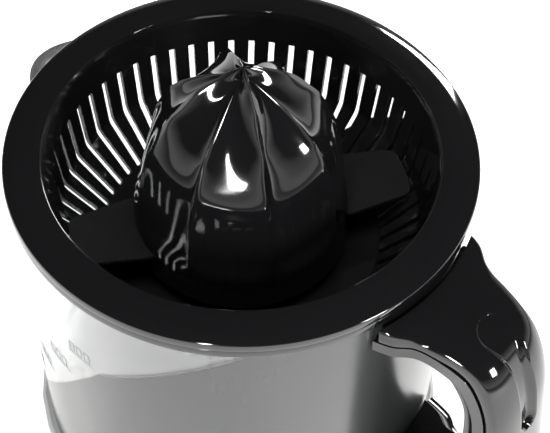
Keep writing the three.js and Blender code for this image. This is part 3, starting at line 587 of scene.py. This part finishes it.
def basket_shape(s):
    inner, outer = basket_rows(s)
    rib = 0.0776
    hub = 0.00825
    top = RIM
    rim = fillet([
        (inner[0][0], inner[0][1], 0), (s.mouth - 0.4 * MM, top - 1.0 * MM, 0.6 * MM),
        (s.mouth + 0.5 * MM, top + 1.2 * MM, 0.7 * MM), (s.mouth + 4 * MM, top + 1.25 * MM, 8 * MM),
        (RIM_RADIUS - 4 * MM, top + 0.3 * MM, 8 * MM), (RIM_RADIUS, top - 0.9 * MM, 1.1 * MM),
        (RIM_RADIUS, top - 4.2 * MM, 0.4 * MM), (RIM_RADIUS - 1.4 * MM, top - 4.2 * MM, 0.3 * MM),
        (RIM_RADIUS - 1.4 * MM, top - 2.4 * MM, 0.2 * MM), (rib, top - 2.2 * MM, 0.2 * MM),
        (rib, JUG_TOP - 4 * MM, 0.3 * MM), (rib - 1.6 * MM, JUG_TOP - 4 * MM, 0.3 * MM),
        (rib - 1.6 * MM, top - 2 * MM, 0.3 * MM), (s.mouth + s.wall, top - 1.7 * MM, 0.4 * MM),
        (outer[0][0], outer[0][1], 0)], closed=False, steps=3)
    floor = top - s.depth
    under = floor - 2 * MM
    collar = floor + 9 * MM
    tail = under - 14 * MM
    centre = fillet([
        (inner[-1][0], inner[-1][1], 0), (14 * MM, floor, 0.5 * MM), (hub + 2.2 * MM, floor, 0.4 * MM),
        (hub + 2.2 * MM, collar, 0.4 * MM), (hub, collar, 0.3 * MM), (hub, under, 0.3 * MM),
        (12.5 * MM, under, 0.2 * MM), (12.5 * MM, tail, 0.3 * MM), (14.5 * MM, tail, 0.3 * MM),
        (14.5 * MM, under, 0.4 * MM), (outer[-1][0] - 1 * MM, under, 1 * MM),
        (outer[-1][0], outer[-1][1], 0)], closed=False, steps=3)
    loop = [("in", p) for p in inner] + [("plain", p) for p in centre[1:-1]]
    loop += [("out", p) for p in reversed(outer)] + [("plain", p) for p in reversed(rim[1:-1])]
    half = math.pi / s.slots

    def columns(r):
        edge = min(math.asin(min(s.slot_width / 2 / r, 1)), half * 0.6)
        return (-half, -(half + edge) / 2, -edge, edge, (half + edge) / 2)

    verts, faces = [], []
    width = 5
    for k in range(s.slots):
        for _, (r, z) in loop:
            verts += [(r * math.cos(a), r * math.sin(a), z) for a in
                      ((2 * k + 1) * half + c for c in columns(r))]
    rows = len(loop)
    total = s.slots * width

    def at(row, col):
        col %= total
        return (col // width * rows + row) * width + col % width

    for row in range(rows):
        after = (row + 1) % rows
        kinds = {loop[row][0], loop[after][0]}
        for col in range(total):
            if kinds in ({"in"}, {"out"}) and col % width == 2:
                continue
            faces.append((at(row, col), at(row, col + 1), at(after, col + 1), at(after, col)))
    deep = len(inner)
    first_out = deep + len(centre) - 2
    for k in range(s.slots):
        for i in range(deep - 1):
            below = first_out + deep - 1 - i
            for side in (2, 3):
                col = k * width + side
                faces.append((at(i, col), at(i + 1, col), at(below - 1, col), at(below, col)))
        for i in (0, deep - 1):
            below = first_out + deep - 1 - i
            left, right = k * width + 2, k * width + 3
            faces.append((at(i, left), at(i, right), at(below, right), at(below, left)))
    return verts, faces


class JUICER_OT_basket(bpy.types.Operator):
    """Builds the slotted basket with its crowned rim and hub"""
    bl_idname = "juicer.basket"
    bl_label = "Basket"

    def execute(self, context):
        shape = piece("basket_moulding", *basket_shape(settings("basket")), "gloss_black", sharp=38,
                      bevel=0.18 * MM)
        finish_piece(shape, "basket", "gloss_black", "sieve_basket")
        return {"FINISHED"}


# ---- Cone and sweeper --------------------------------------------------------------------
# Ridge lines as (radius, height from the rim), in millimetres.
MAIN_RIDGE = [(0.6, 43.5), (5, 42.4), (10, 40), (16, 36.5), (20, 33), (24.5, 27.5), (28.5, 22), (32, 14),
              (35.5, 4.5), (37.3, -6), (38.3, -18), (38.6, -27), (38.8, -38)]
SIDE_RIDGE = [(0.4, 39.6), (4, 38.6), (9.7, 35.4), (16, 31.4), (22.5, 26.2), (26.5, 22), (29.8, 17.5),
              (34.4, 7.1), (37.0, -6), (38.3, -18), (38.6, -27), (38.8, -38)]


def falling(points):
    """A ridge line as rising (height, radius) pairs."""
    return [(z, r) for r, z in reversed(spline(points, 80))]


def cone_shape(s):
    """Four long and four short ridges with flutes between them, hollow from below."""
    main, side = falling(MAIN_RIDGE), falling(SIDE_RIDGE)
    rows = [z for z, _ in main]
    sides = 8 * 36
    side_top, wall, hollow_top = SIDE_RIDGE[0][1], 2.2, 24

    def ring(z, inset):
        carve = step(z, -30, 46)
        depth = step(z, -25, -17) * (0.05 + 0.03 * carve + 0.3 * carve ** 4)
        out = []
        for i in range(sides):
            turn = 2 * math.pi * i / sides
            blend = 0.5 - 0.5 * math.cos(4 * turn)
            ridge = mix(table(side, z) if z < side_top else 0.3, table(main, z), blend)
            flute = abs(math.sin(4 * turn)) ** 0.55
            r = max(ridge * (1 - depth * flute) - inset, 0.25)
            a = turn + s.ridge_turn
            out.append((r * MM * math.cos(a), r * MM * math.sin(a), RIM + z * MM))
        return out

    rings = [ring(z, 0) for z in reversed(rows)]
    inner = [ring(z, wall) for z in rows if z < hollow_top]
    return tube(rings + inner)


def wing_plan(s):
    """Outline of one wing along +X, with rounded tip corners."""
    tip = math.sqrt(s.wing_span ** 2 - s.wing_tip ** 2)
    inside = s.radius - 6 * MM
    half = [(inside, s.wing_root, 0), (s.radius, s.wing_root, 2 * MM), (tip, s.wing_tip, 5 * MM),
            (s.wing_span, s.wing_tip * 0.3, 6 * MM)]
    outline = half + [(x, -y, r) for x, y, r in reversed(half)]
    return fillet(outline, steps=5)


def slab(outline, low, high, turn):
    """An upright prism over an XY outline, turned about Z."""
    cos, sin = math.cos(turn), math.sin(turn)
    rings = [[(x * cos - y * sin, x * sin + y * cos, z) for x, y in outline] for z in (low, high)]
    return tube(rings)


class JUICER_OT_cone(bpy.types.Operator):
    """Builds the ridged cone"""
    bl_idname = "juicer.cone"
    bl_label = "Cone"

    def execute(self, context):
        shape = piece("cone_moulding", *cone_shape(settings("cone")), "gloss_black", sharp=60)
        finish_piece(shape, "large_cone", "gloss_black", "large_cone")
        return {"FINISHED"}


class JUICER_OT_sweeper(bpy.types.Operator):
    """Builds the sweeper's ring and its two wings"""
    bl_idname = "juicer.sweeper"
    bl_label = "Sweeper"

    def execute(self, context):
        s = settings("cone")
        low, high = size_of("sweeper")
        top = RIM - 28 * MM
        edge = 0.035
        foot = low.z
        hub = 0.01075
        ring = lathe(fillet([(hub, foot, 0), (hub + 4 * MM, foot, 0), (hub + 4 * MM, foot + 0.9 * MM, 0),
                             (edge, foot + 0.9 * MM, 0.3 * MM), (edge, foot + 2.9 * MM, 0.3 * MM),
                             (hub + 2.4 * MM, foot + 2.9 * MM, 0.3 * MM),
                             (hub + 2.4 * MM, foot + 7.5 * MM, 0.2 * MM),
                             (hub, foot + 7.5 * MM, 0.2 * MM)], steps=2), 96)
        parts = [ring]
        for k in (1, 5):
            turn = s.ridge_turn + k * math.pi / 4
            parts.append(slab(wing_plan(s), top - s.wing_thick, top, turn))
            root = [(edge - 3.5 * MM, -s.wing_root), (edge - 1.2 * MM, -s.wing_root),
                    (edge - 1.2 * MM, s.wing_root), (edge - 3.5 * MM, s.wing_root)]
            parts.append(slab(root, foot + 1.0 * MM, top - 0.2 * MM, turn))
        shape = piece("sweeper_moulding", *join_shapes(*parts), "wing_black", bevel=0.25 * MM)
        finish_piece(shape, "sweeper", "gloss_black", "sweeper")
        return {"FINISHED"}


# ---- Jug ---------------------------------------------------------------------------------
def jug_radius(s, z):
    return s.radius + s.taper * (z - JUG_TOP)


def spout_bulge(s, angle, z, shrink=0.0):
    """How far the wall stands out for the spout at this angle, with its beak at 180 degrees."""
    side = math.sin(angle - math.pi) * s.radius
    if math.cos(angle - math.pi) < 0:
        return 0.0
    rise = step(z, JUG_TOP - s.spout_drop, JUG_TOP - 8 * MM)
    half = (s.spout_half - shrink) * mix(0.45, 1.0, rise)
    across = min(abs(side) / half, 1.0)
    crest = (0.5 + 0.5 * math.cos(math.pi * across)) ** 0.62
    return max(s.spout_reach - shrink, 0) * rise * crest


def jug_top(s, angle):
    """The wall's upper edge, which dips along the spout."""
    bulge = spout_bulge(s, angle, JUG_TOP)
    return JUG_TOP - min(bulge, 0.0005) / 0.0005 * 2.5 * MM * step(bulge, 0, 3 * MM) - bulge * 0.26


def jug_wall(s, angles, inset, levels):
    """Rings of the wall from its foot to its upper edge."""
    rings = []
    for level in levels:
        ring = []
        for a in angles:
            z = mix(JUG_FOOT, jug_top(s, a), level)
            r = jug_radius(s, z) - inset + spout_bulge(s, a, z, inset)
            ring.append((r * math.cos(a), r * math.sin(a), z))
        rings.append(ring)
    return rings


def jug_shape(s):
    sides = 288
    angles = [2 * math.pi * i / sides for i in range(sides)]
    levels = [0, 0.01, 0.2, 0.4, 0.55, 0.65] + [0.7 + 0.3 * k / 14 for k in range(15)]
    outside = jug_wall(s, angles, 0, levels)
    foot_level = 15.6 * MM / (JUG_TOP - JUG_FOOT)
    inside = jug_wall(s, angles, s.wall, [v for v in levels if v > foot_level + 0.02])
    floor = JUG_FOOT + 9.6 * MM
    under = JUG_FOOT + 6.6 * MM
    top = RIM - 56 * MM
    wall_r = jug_radius(s, floor) - s.wall
    lower = fillet([
        (wall_r + 0.3 * MM, floor + 9 * MM, 0), (wall_r, floor, 7 * MM), (13.5 * MM, floor, 3 * MM),
        (10.2 * MM, top, 0.4 * MM), (7.5 * MM, top, 0.4 * MM), (9.5 * MM, under, 1 * MM),
        (jug_radius(s, under) - s.wall, under, 0.5 * MM), (jug_radius(s, JUG_FOOT) - s.wall, JUG_FOOT, 0)],
        closed=False, steps=4)
    rings = outside + inside[::-1]
    rings += [[(r * math.cos(a), r * math.sin(a), z) for a in angles] for r, z in lower]
    return tube(rings, closed=True)


def bent_strip(s, width, height, centre_angle, z, lift=0.00008):
    """A flat printed bar that follows the jug's wall."""
    radius = jug_radius(s, z) + lift
    half = width / 2 / radius
    steps = max(2, int(width / (1.5 * MM)))
    thick = 0.07 * MM
    section = ((-height / 2, 0), (height / 2, 0), (height / 2, -thick), (-height / 2, -thick))
    front = [(radius, centre_angle - half + 2 * half * i / steps) for i in range(steps + 1)]
    rings = []
    for r, a in front:
        rings.append([((r + o + s.taper * dz) * math.cos(a), (r + o + s.taper * dz) * math.sin(a), z + dz)
                      for dz, o in section])
    return tube(rings)


DIGITS = {
    "0": "abcdef", "1": "bc", "2": "abged", "3": "abgcd", "4": "fgbc", "5": "afgcd", "6": "afgecd",
    "7": "abc", "8": "abcdefg", "9": "abcfgd",
}
STROKES = {"a": (0, 1, 1, 1), "b": (1, 1, 1, 0.5), "c": (1, 0.5, 1, 0), "d": (0, 0, 1, 0),
           "e": (0, 0.5, 0, 0), "f": (0, 1, 0, 0.5), "g": (0, 0.5, 1, 0.5)}


def figure(s, text, centre_angle, z, high):
    """Plain figures drawn with straight strokes on the jug's wall."""
    wide, pen = high * 0.55, high * 0.075
    parts = []
    for k, char in enumerate(text):
        left = (k - len(text) / 2) * high * 0.86
        for key in DIGITS[char]:
            x0, y0, x1, y1 = STROKES[key]
            across, up = abs(x1 - x0) * wide + pen, abs(y1 - y0) * high + pen
            x, y = left + (x0 + x1) / 2 * wide, z + ((y0 + y1) / 2 - 0.5) * high
            parts.append(bent_strip(s, across, up, centre_angle + x / jug_radius(s, z), y))
    return parts


class JUICER_OT_jug(bpy.types.Operator):
    """Builds the jug with its spout, and the printed scale"""
    bl_idname = "juicer.jug"
    bl_label = "Jug"

    def execute(self, context):
        s = settings("jug")
        shape = piece("jug_moulding", *jug_shape(s), "clear_jug", sharp=50)
        finish_piece(shape, "jug", "clear_jug", "jug")
        parts = []
        for k, millilitres in enumerate((800, 600, 400, 200)):
            angle = math.radians(-95.5 - 10.5 * k)
            height = RIM - (44 + 16.5 * k) * MM
            parts.append(bent_strip(s, 13 * MM, 0.35 * MM, angle, height))
            parts += figure(s, str(millilitres), angle, height + 3.4 * MM, 4.4 * MM)
        marks = piece("jug_scale", *join_shapes(*parts), "ink")
        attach(marks, "jug")
        return {"FINISHED"}


class JUICER_OT_collar(bpy.types.Operator):
    """Builds the black lip round the jug's mouth"""
    bl_idname = "juicer.collar"
    bl_label = "Jug lip"

    def execute(self, context):
        s = settings("jug")
        outer = s.radius + 0.3 * MM
        inner = s.radius - s.wall - 0.3 * MM
        top = JUG_TOP
        profile = fillet([
            (inner - 1.1 * MM, top - 4 * MM, 0.2 * MM), (inner, top - 4 * MM, 0.2 * MM),
            (inner, top + 0.3 * MM, 0),
            (outer, top + 0.3 * MM, 0), (outer, top - 2.2 * MM, 0.15 * MM),
            (outer + 1 * MM, top - 2.2 * MM, 0.3 * MM),
            (outer + 1 * MM, top + 0.9 * MM, 0.4 * MM), (outer - 0.4 * MM, top + 0.9 * MM, 0.3 * MM),
            (outer - 0.4 * MM, top + 2.6 * MM, 0.4 * MM),
            (inner - 1.1 * MM, top + 2.6 * MM, 0.3 * MM)], steps=3)
        shape = piece("jug_lip", *lathe(profile, 288), "gloss_black", sharp=40)
        finish_piece(shape, "jug", "gloss_black", "jug_collar")
        return {"FINISHED"}


# ---- Handle ------------------------------------------------------------------------------
def grip_curve(s, depth, count):
    """Side view of the handle's outside, moved inwards by depth, as (x, z) from the rim."""
    jug = settings("jug").radius
    r = jug + s.reach - depth
    top = JUG_TOP - 3 * MM
    low = JUG_FOOT + 5 * MM
    d = depth
    points = [
        (jug - 4 * MM, top - d * 0.95), (jug + 12 * MM, top - 0.6 * MM - d * 0.95),
        (jug + 28 * MM - d * 0.55, top - 4 * MM - d), (r - 9 * MM + d * 0.12, top - 12 * MM - d * 0.75),
        (r - 3 * MM + d * 0.08, top - 28 * MM - d * 0.45), (r - 0.5 * MM, top - 52 * MM),
        (r, (top + low) / 2 - 8 * MM), (r - 3 * MM, low + 26 * MM + d * 0.3),
        (r - 12 * MM, low + 11 * MM + d * 0.8), (r - 26 * MM + d * 0.3, low + 2 * MM + d),
        (jug - 10 * MM, low + d)]
    return spline(points, count)


def half_width(s, x):
    """Half the handle's width at this distance from the axis."""
    jug = settings("jug").radius
    plan = [(jug - 12 * MM, s.root_half + 3 * MM), (jug + 1.8 * MM, s.root_half),
            (jug + 9 * MM, s.root_half - 4.5 * MM), (jug + 20 * MM, s.grip_half + 2.6 * MM),
            (jug + 32 * MM, s.grip_half + 0.5 * MM), (jug + s.reach + 2 * MM, s.grip_half - 0.5 * MM)]
    return table([(a, b) for a, b in spline(plan, 40)], x)


def cover_rings(s, count):
    """Rings of the cover, crowned across and hollowed for the thumb."""
    outer = grip_curve(s, 0, count)
    inner = grip_curve(s, s.cover, count)
    run = [0.0]
    for a, b in zip(outer, outer[1:]):
        run.append(run[-1] + math.dist(a, b))
    jug = settings("jug").radius
    rings = []
    across = [(-1 + 2 * k / 64) for k in range(65)]
    for i, ((ox, oz), (ix, iz)) in enumerate(zip(outer, inner)):
        down = Vector((ix - ox, iz - oz)).normalized()
        deep = math.dist((ix, iz), (ox, oz))
        width = half_width(s, ox)
        crown = s.crown * step(ox, jug - 2 * MM, jug + 14 * MM)
        ring = []
        for u in across:
            side = math.copysign(abs(u) ** 0.9, u)
            drop = crown * abs(side) ** 3.2 + thumb_dip(s, run[i], side * width)
            if abs(side) > 0.95:
                drop += 0.6 * MM * ((abs(side) - 0.95) / 0.05) ** 2
            ring.append((ox + down.x * drop, side * width, oz + down.y * drop))
        for y in (width, -width):
            ring.append((ox + down.x * (deep - 0.2 * MM), y * 0.995, oz + down.y * (deep - 0.2 * MM)))
        rings.append(ring)
    return rings


def thumb_dip(s, run, y):
    """Depth of the teardrop thumb recess at this run along the handle and distance from its middle."""
    start, end = 0.025, 0.078
    head, tail, slope = 8.8 * MM, 4.4 * MM, 2.6 * MM
    if run <= start or run >= end:
        return 0.0
    t = (run - start) / (end - start)
    wide = mix(head, tail, step(t, 0.0, 0.5))
    if run - start < head:
        wide *= math.sqrt(1 - (1 - (run - start) / head) ** 2)
    if end - run < tail:
        wide *= math.sqrt(1 - (1 - (end - run) / tail) ** 2)
    if abs(y) >= wide:
        return 0.0
    edge = min((wide - abs(y)) / slope, 1)
    return s.recess * edge * (2 - edge) * mix(0.35, 1, step(t, 0.05, 0.5))


def clipped(shape, name, cutter, sharp=40):
    """The shape less a cutter, made once and kept as plain mesh."""
    cut = shape.modifiers.new(name, "BOOLEAN")
    cut.operation = "DIFFERENCE"
    cut.solver = "EXACT"
    cut.object = cutter
    graph = bpy.context.evaluated_depsgraph_get()
    result = bpy.data.meshes.new_from_object(shape.evaluated_get(graph))
    if not result.polygons:
        raise RuntimeError(f"{name} left nothing of {shape.name}")
    shape.modifiers.remove(cut)
    old = shape.data
    shape.data = result
    bpy.data.meshes.remove(old)
    bpy.data.objects.remove(cutter)
    shape.data.shade_smooth()
    shape.data.set_sharp_from_angle(angle=math.radians(sharp))


def wall_cutter(extra, rim_room):
    """The jug's outside as a solid, and for the cover also the room the rim needs."""
    s = settings("jug")
    low, high = JUG_FOOT - 10 * MM, JUG_TOP + 20 * MM
    profile = [(0.001, low), (jug_radius(s, low) + extra, low)]
    if rim_room:
        ledge = RIM - 20 * MM
        profile += [(jug_radius(s, ledge) + extra, ledge), (RIM_RADIUS + 0.8 * MM, ledge + 0.1 * MM),
                    (RIM_RADIUS + 0.8 * MM, high)]
    else:
        profile += [(jug_radius(s, high) + extra, high)]
    profile += [(0.001, high)]
    return piece("cutter", *lathe(profile, 192), "satin_black")


class JUICER_OT_handle(bpy.types.Operator):
    """Builds the handle's core and its crowned cover with the thumb recess"""
    bl_idname = "juicer.handle"
    bl_label = "Handle"

    def execute(self, context):
        s = settings("handle")
        cover = piece("handle_cover_moulding", *tube(cover_rings(s, 260)), "gloss_black", sharp=34)
        clipped(cover, "jug_room", wall_cutter(0.3 * MM, True), sharp=62)
        finish_piece(cover, "jug", "gloss_black", "handle_cover")
        core = piece("handle_core_moulding", *tube(core_rings(s, 120)), "gloss_black", sharp=40)
        clipped(core, "jug_room", wall_cutter(0.3 * MM, False))
        finish_piece(core, "jug", "gloss_black", "handle_core")
        return {"FINISHED"}


def core_rings(s, count):
    """Rings of the core under the cover, rounded on the fingers' side."""
    outer = grip_curve(s, s.cover + 0.3 * MM, count)
    inner = grip_curve(s, s.cover + s.grip, count)
    rings = []
    for (ox, oz), (ix, iz) in zip(outer, inner):
        down = Vector((ix - ox, iz - oz)).normalized()
        deep = math.dist((ix, iz), (ox, oz))
        width = half_width(s, ox) - 0.5 * MM
        inset = 1.1 * MM
        arc = [(-width + inset, 0.0), (-width + inset, 0.07), (-width, 0.09), (-width, 0.5)]
        arc += [(-width * mix(1, 0.78, math.sin(bend)), mix(0.5, 1, 1 - math.cos(bend)))
                for bend in (k * math.pi / 14 for k in range(1, 8))]
        arc = [(y, t * deep) for y, t in arc]
        half = arc + [(-y, t) for y, t in reversed(arc)]
        ring = [(ox + down.x * t, y, oz + down.y * t) for y, t in half]
        rings.append(ring)
    return rings


# ---- Base --------------------------------------------------------------------------------
def skirt_line(s, inset, low, high, count):
    """The base's flared side, inset by a wall."""
    foot, top = (corner.z for corner in size_of("base_skirt"))
    lip = s.lip_radius - 0.8 * MM
    out = []
    for i in range(count + 1):
        z = mix(low, high, i / count)
        down = max((top - z) / (top - foot), 0)
        out.append((mix(lip, s.foot_radius, down ** 1.7) - inset, z))
    return out


class JUICER_OT_base(bpy.types.Operator):
    """Builds the base's metal sleeve and its feet"""
    bl_idname = "juicer.base"
    bl_label = "Base"

    def execute(self, context):
        s = settings("base")
        low, high = size_of("base_skirt")
        outside = skirt_line(s, 0, low.z, high.z, 24)
        inside = skirt_line(s, s.skirt_wall, low.z, high.z, 24)[::-1]
        sleeve = piece("sleeve_sheet", *lathe(outside + inside, 256), "brushed_steel", sharp=40)
        inlet_low, inlet_high = size_of("cord_inlet")
        centre = (inlet_low + inlet_high) / 2
        hole = piece("cutter", *hole_shape(6.2 * MM, centre), "brushed_steel")
        clipped(sleeve, "inlet_room", hole)
        finish_piece(sleeve, "base", "brushed_steel", "base_skirt")
        for k in range(1, 5):
            node = f"foot_{k}"
            low, high = size_of(node)
            radius = (high.x - low.x) / 2
            x, y = (low.x + high.x) / 2, (low.y + high.y) / 2
            profile = fillet([(0.4 * MM, low.z + 0.3 * MM, 0.2 * MM), (1.6 * MM, low.z, 0.4 * MM),
                              (radius - 0.8 * MM, low.z, 0.5 * MM), (radius, low.z + 0.9 * MM, 0.4 * MM),
                              (radius, high.z, 0), (0.4 * MM, high.z, 0)], steps=3)
            verts, faces = lathe(profile, 48)
            pad = piece(f"foot_pad_{k}", moved(verts, x, y), faces, "rubber")
            finish_piece(pad, "base", "rubber", node)
        return {"FINISHED"}


def hole_shape(radius, centre):
    """A bar along Y through the sleeve at the inlet."""
    rings = []
    for y in (centre.y - 14 * MM, centre.y + 14 * MM):
        rings.append([(centre.x + radius * math.cos(a), y, centre.z + radius * math.sin(a))
                      for a in (2 * math.pi * k / 48 for k in range(48))])
    return tube(rings)


class JUICER_OT_finishes(bpy.types.Operator):
    """Gives every carried-over frame node its procedural material"""
    bl_idname = "juicer.finishes"
    bl_label = "Finishes"

    def execute(self, context):
        slots = {part["node"]: part["material_slot"] for part in frame["record"]["subparts"]}
        for node, shape in frame["nodes"].items():
            chosen = material(slots[node])
            shape.data.materials.clear()
            shape.data.materials.append(chosen)
            shape.data.shade_smooth()
            shape.data.set_sharp_from_angle(angle=math.radians(30))
        return {"FINISHED"}


# ---- Stage -------------------------------------------------------------------------------
def area_light(name, place_, aim, width, height, power):
    """A soft rectangular light that faces a point."""
    light = bpy.data.lights.new(name, "AREA")
    light.shape = "RECTANGLE"
    light.size, light.size_y = width, height
    light.energy = power
    lamp = bpy.data.objects.new(name, light)
    bpy.context.scene.collection.objects.link(lamp)
    lamp.location = place_
    lamp.rotation_mode = "QUATERNION"
    lamp.rotation_quaternion = (Vector(aim) - Vector(place_)).to_track_quat("-Z", "Y")
    return lamp


def make_camera():
    """The camera above and in front of the handle's left, looking down into the basket."""
    turn, pitch, roll = math.radians(37), math.radians(49.34), math.radians(1.56)
    spot = Matrix.Rotation(turn, 3, "Z") @ Vector((9.28, -521.23, 580.22)) * MM
    ahead = Matrix.Rotation(turn, 3, "Z") @ Vector((0, math.cos(pitch), -math.sin(pitch)))
    right = Matrix.Rotation(turn, 3, "Z") @ Vector((1, 0, 0))
    up = right.cross(ahead)
    x = math.cos(roll) * right + math.sin(roll) * up
    y = -math.sin(roll) * right + math.cos(roll) * up
    data = bpy.data.cameras.new("studio_camera")
    data.sensor_width = 36
    data.lens = 145.47
    data.shift_x, data.shift_y = 0.0151, -0.0236
    data.clip_start, data.clip_end = 0.05, 50
    camera = bpy.data.objects.new("studio_camera", data)
    bpy.context.scene.collection.objects.link(camera)
    place_ = Matrix.Translation(spot + Vector((0, 0, RIM)))
    camera.matrix_world = place_ @ Matrix((x, y, -ahead)).transposed().to_4x4()
    bpy.context.scene.camera = camera


def make_world():
    """A studio room: bright low walls and a dim ceiling."""
    world = bpy.data.worlds.new("studio_room")
    bpy.context.scene.world = world
    world.use_nodes = True
    tree = world.node_tree
    coords = add(tree, "ShaderNodeTexCoord")
    parts = add(tree, "ShaderNodeSeparateXYZ", None, {"Vector": coords.outputs["Generated"]})
    ramp = add(tree, "ShaderNodeValToRGB", None, {"Fac": parts.outputs["Z"]})
    ramp.color_ramp.elements[0].position = 0.0
    ramp.color_ramp.elements[0].color = (1, 1, 1, 1)
    ramp.color_ramp.elements[1].position = 0.24
    ramp.color_ramp.elements[1].color = (0.03, 0.03, 0.03, 1)
    middle = ramp.color_ramp.elements.new(0.05)
    middle.color = (0.7, 0.7, 0.7, 1)
    back = tree.nodes["Background"]
    tree.links.new(ramp.outputs["Color"], back.inputs["Color"])
    back.inputs["Strength"].default_value = 1.15


class JUICER_OT_stage(bpy.types.Operator):
    """Builds the floor, the lights and the camera"""
    bl_idname = "juicer.stage"
    bl_label = "Stage"

    def execute(self, context):
        look = settings("look")
        half = 3.0
        cells = 8
        verts = [(-half + 2 * half * i / cells, -half + 2 * half * j / cells, FLOOR_Z)
                 for j in range(cells + 1) for i in range(cells + 1)]
        row = cells + 1
        faces = [(j * row + i, j * row + i + 1, (j + 1) * row + i + 1, (j + 1) * row + i)
                 for j in range(cells) for i in range(cells)]
        mesh = bpy.data.meshes.new("studio_floor")
        mesh.from_pydata(verts, [], faces)
        mesh.materials.append(material("floor"))
        floor = bpy.data.objects.new("studio_floor", mesh)
        context.scene.collection.objects.link(floor)
        turn = Matrix.Rotation(math.radians(37), 3, "Z")
        aim = (0, 0, 0.15)
        area_light("softbox_front", turn @ Vector((-0.24, -1.1, 0.66)), aim, 0.07, 0.6, look.key * 0.5)
        area_light("softbox_right", turn @ Vector((0.98, -0.68, 0.55)), aim, 0.2, 0.3, look.key * 0.5)
        top = area_light("softbox_top", turn @ Vector((0.0, -0.2, 1.7)), aim, 1.0, 0.6, look.top)
        top.visible_glossy = False
        area_light("softbox_back", turn @ Vector((0.45, 1.1, 0.62)), aim, 0.3, 0.22, look.key * 0.35)
        make_world()
        make_camera()
        context.scene.view_settings.view_transform = "Standard"
        return {"FINISHED"}


# ---- Add-on ------------------------------------------------------------------------------
GROUPS = {
    "basket": JuicerBasketSettings, "cone": JuicerConeSettings, "jug": JuicerJugSettings,
    "handle": JuicerHandleSettings, "base": JuicerBaseSettings, "look": JuicerLookSettings,
}
OPERATORS = (JUICER_OT_basket, JUICER_OT_cone, JUICER_OT_sweeper, JUICER_OT_jug, JUICER_OT_collar,
             JUICER_OT_handle, JUICER_OT_base, JUICER_OT_finishes, JUICER_OT_stage)


class JUICER_PT_panel(bpy.types.Panel):
    """Sizes and build buttons of the juicer"""
    bl_idname = "JUICER_PT_panel"
    bl_label = "Citrus Press Juicer"
    bl_space_type = "VIEW_3D"
    bl_region_type = "UI"
    bl_category = "Juicer"

    def draw(self, context):
        for group in GROUPS:
            box = self.layout.box()
            box.label(text=group.capitalize())
            for key in GROUPS[group].__annotations__:
                box.prop(settings(group), key)
        for operator in OPERATORS:
            self.layout.operator(operator.bl_idname)


def register():
    for group, kind in GROUPS.items():
        bpy.utils.register_class(kind)
        setattr(bpy.types.Scene, "juicer_" + group, bpy.props.PointerProperty(type=kind))
    for kind in OPERATORS + (JUICER_PT_panel,):
        bpy.utils.register_class(kind)


def unregister():
    for kind in reversed(OPERATORS + (JUICER_PT_panel,)):
        bpy.utils.unregister_class(kind)
    for group, kind in GROUPS.items():
        delattr(bpy.types.Scene, "juicer_" + group)
        bpy.utils.unregister_class(kind)


def main():
    register()
    for operator in OPERATORS:
        group, name = operator.bl_idname.split(".")
        getattr(getattr(bpy.ops, group), name)()
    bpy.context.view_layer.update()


if __name__ == "__main__":
    main()
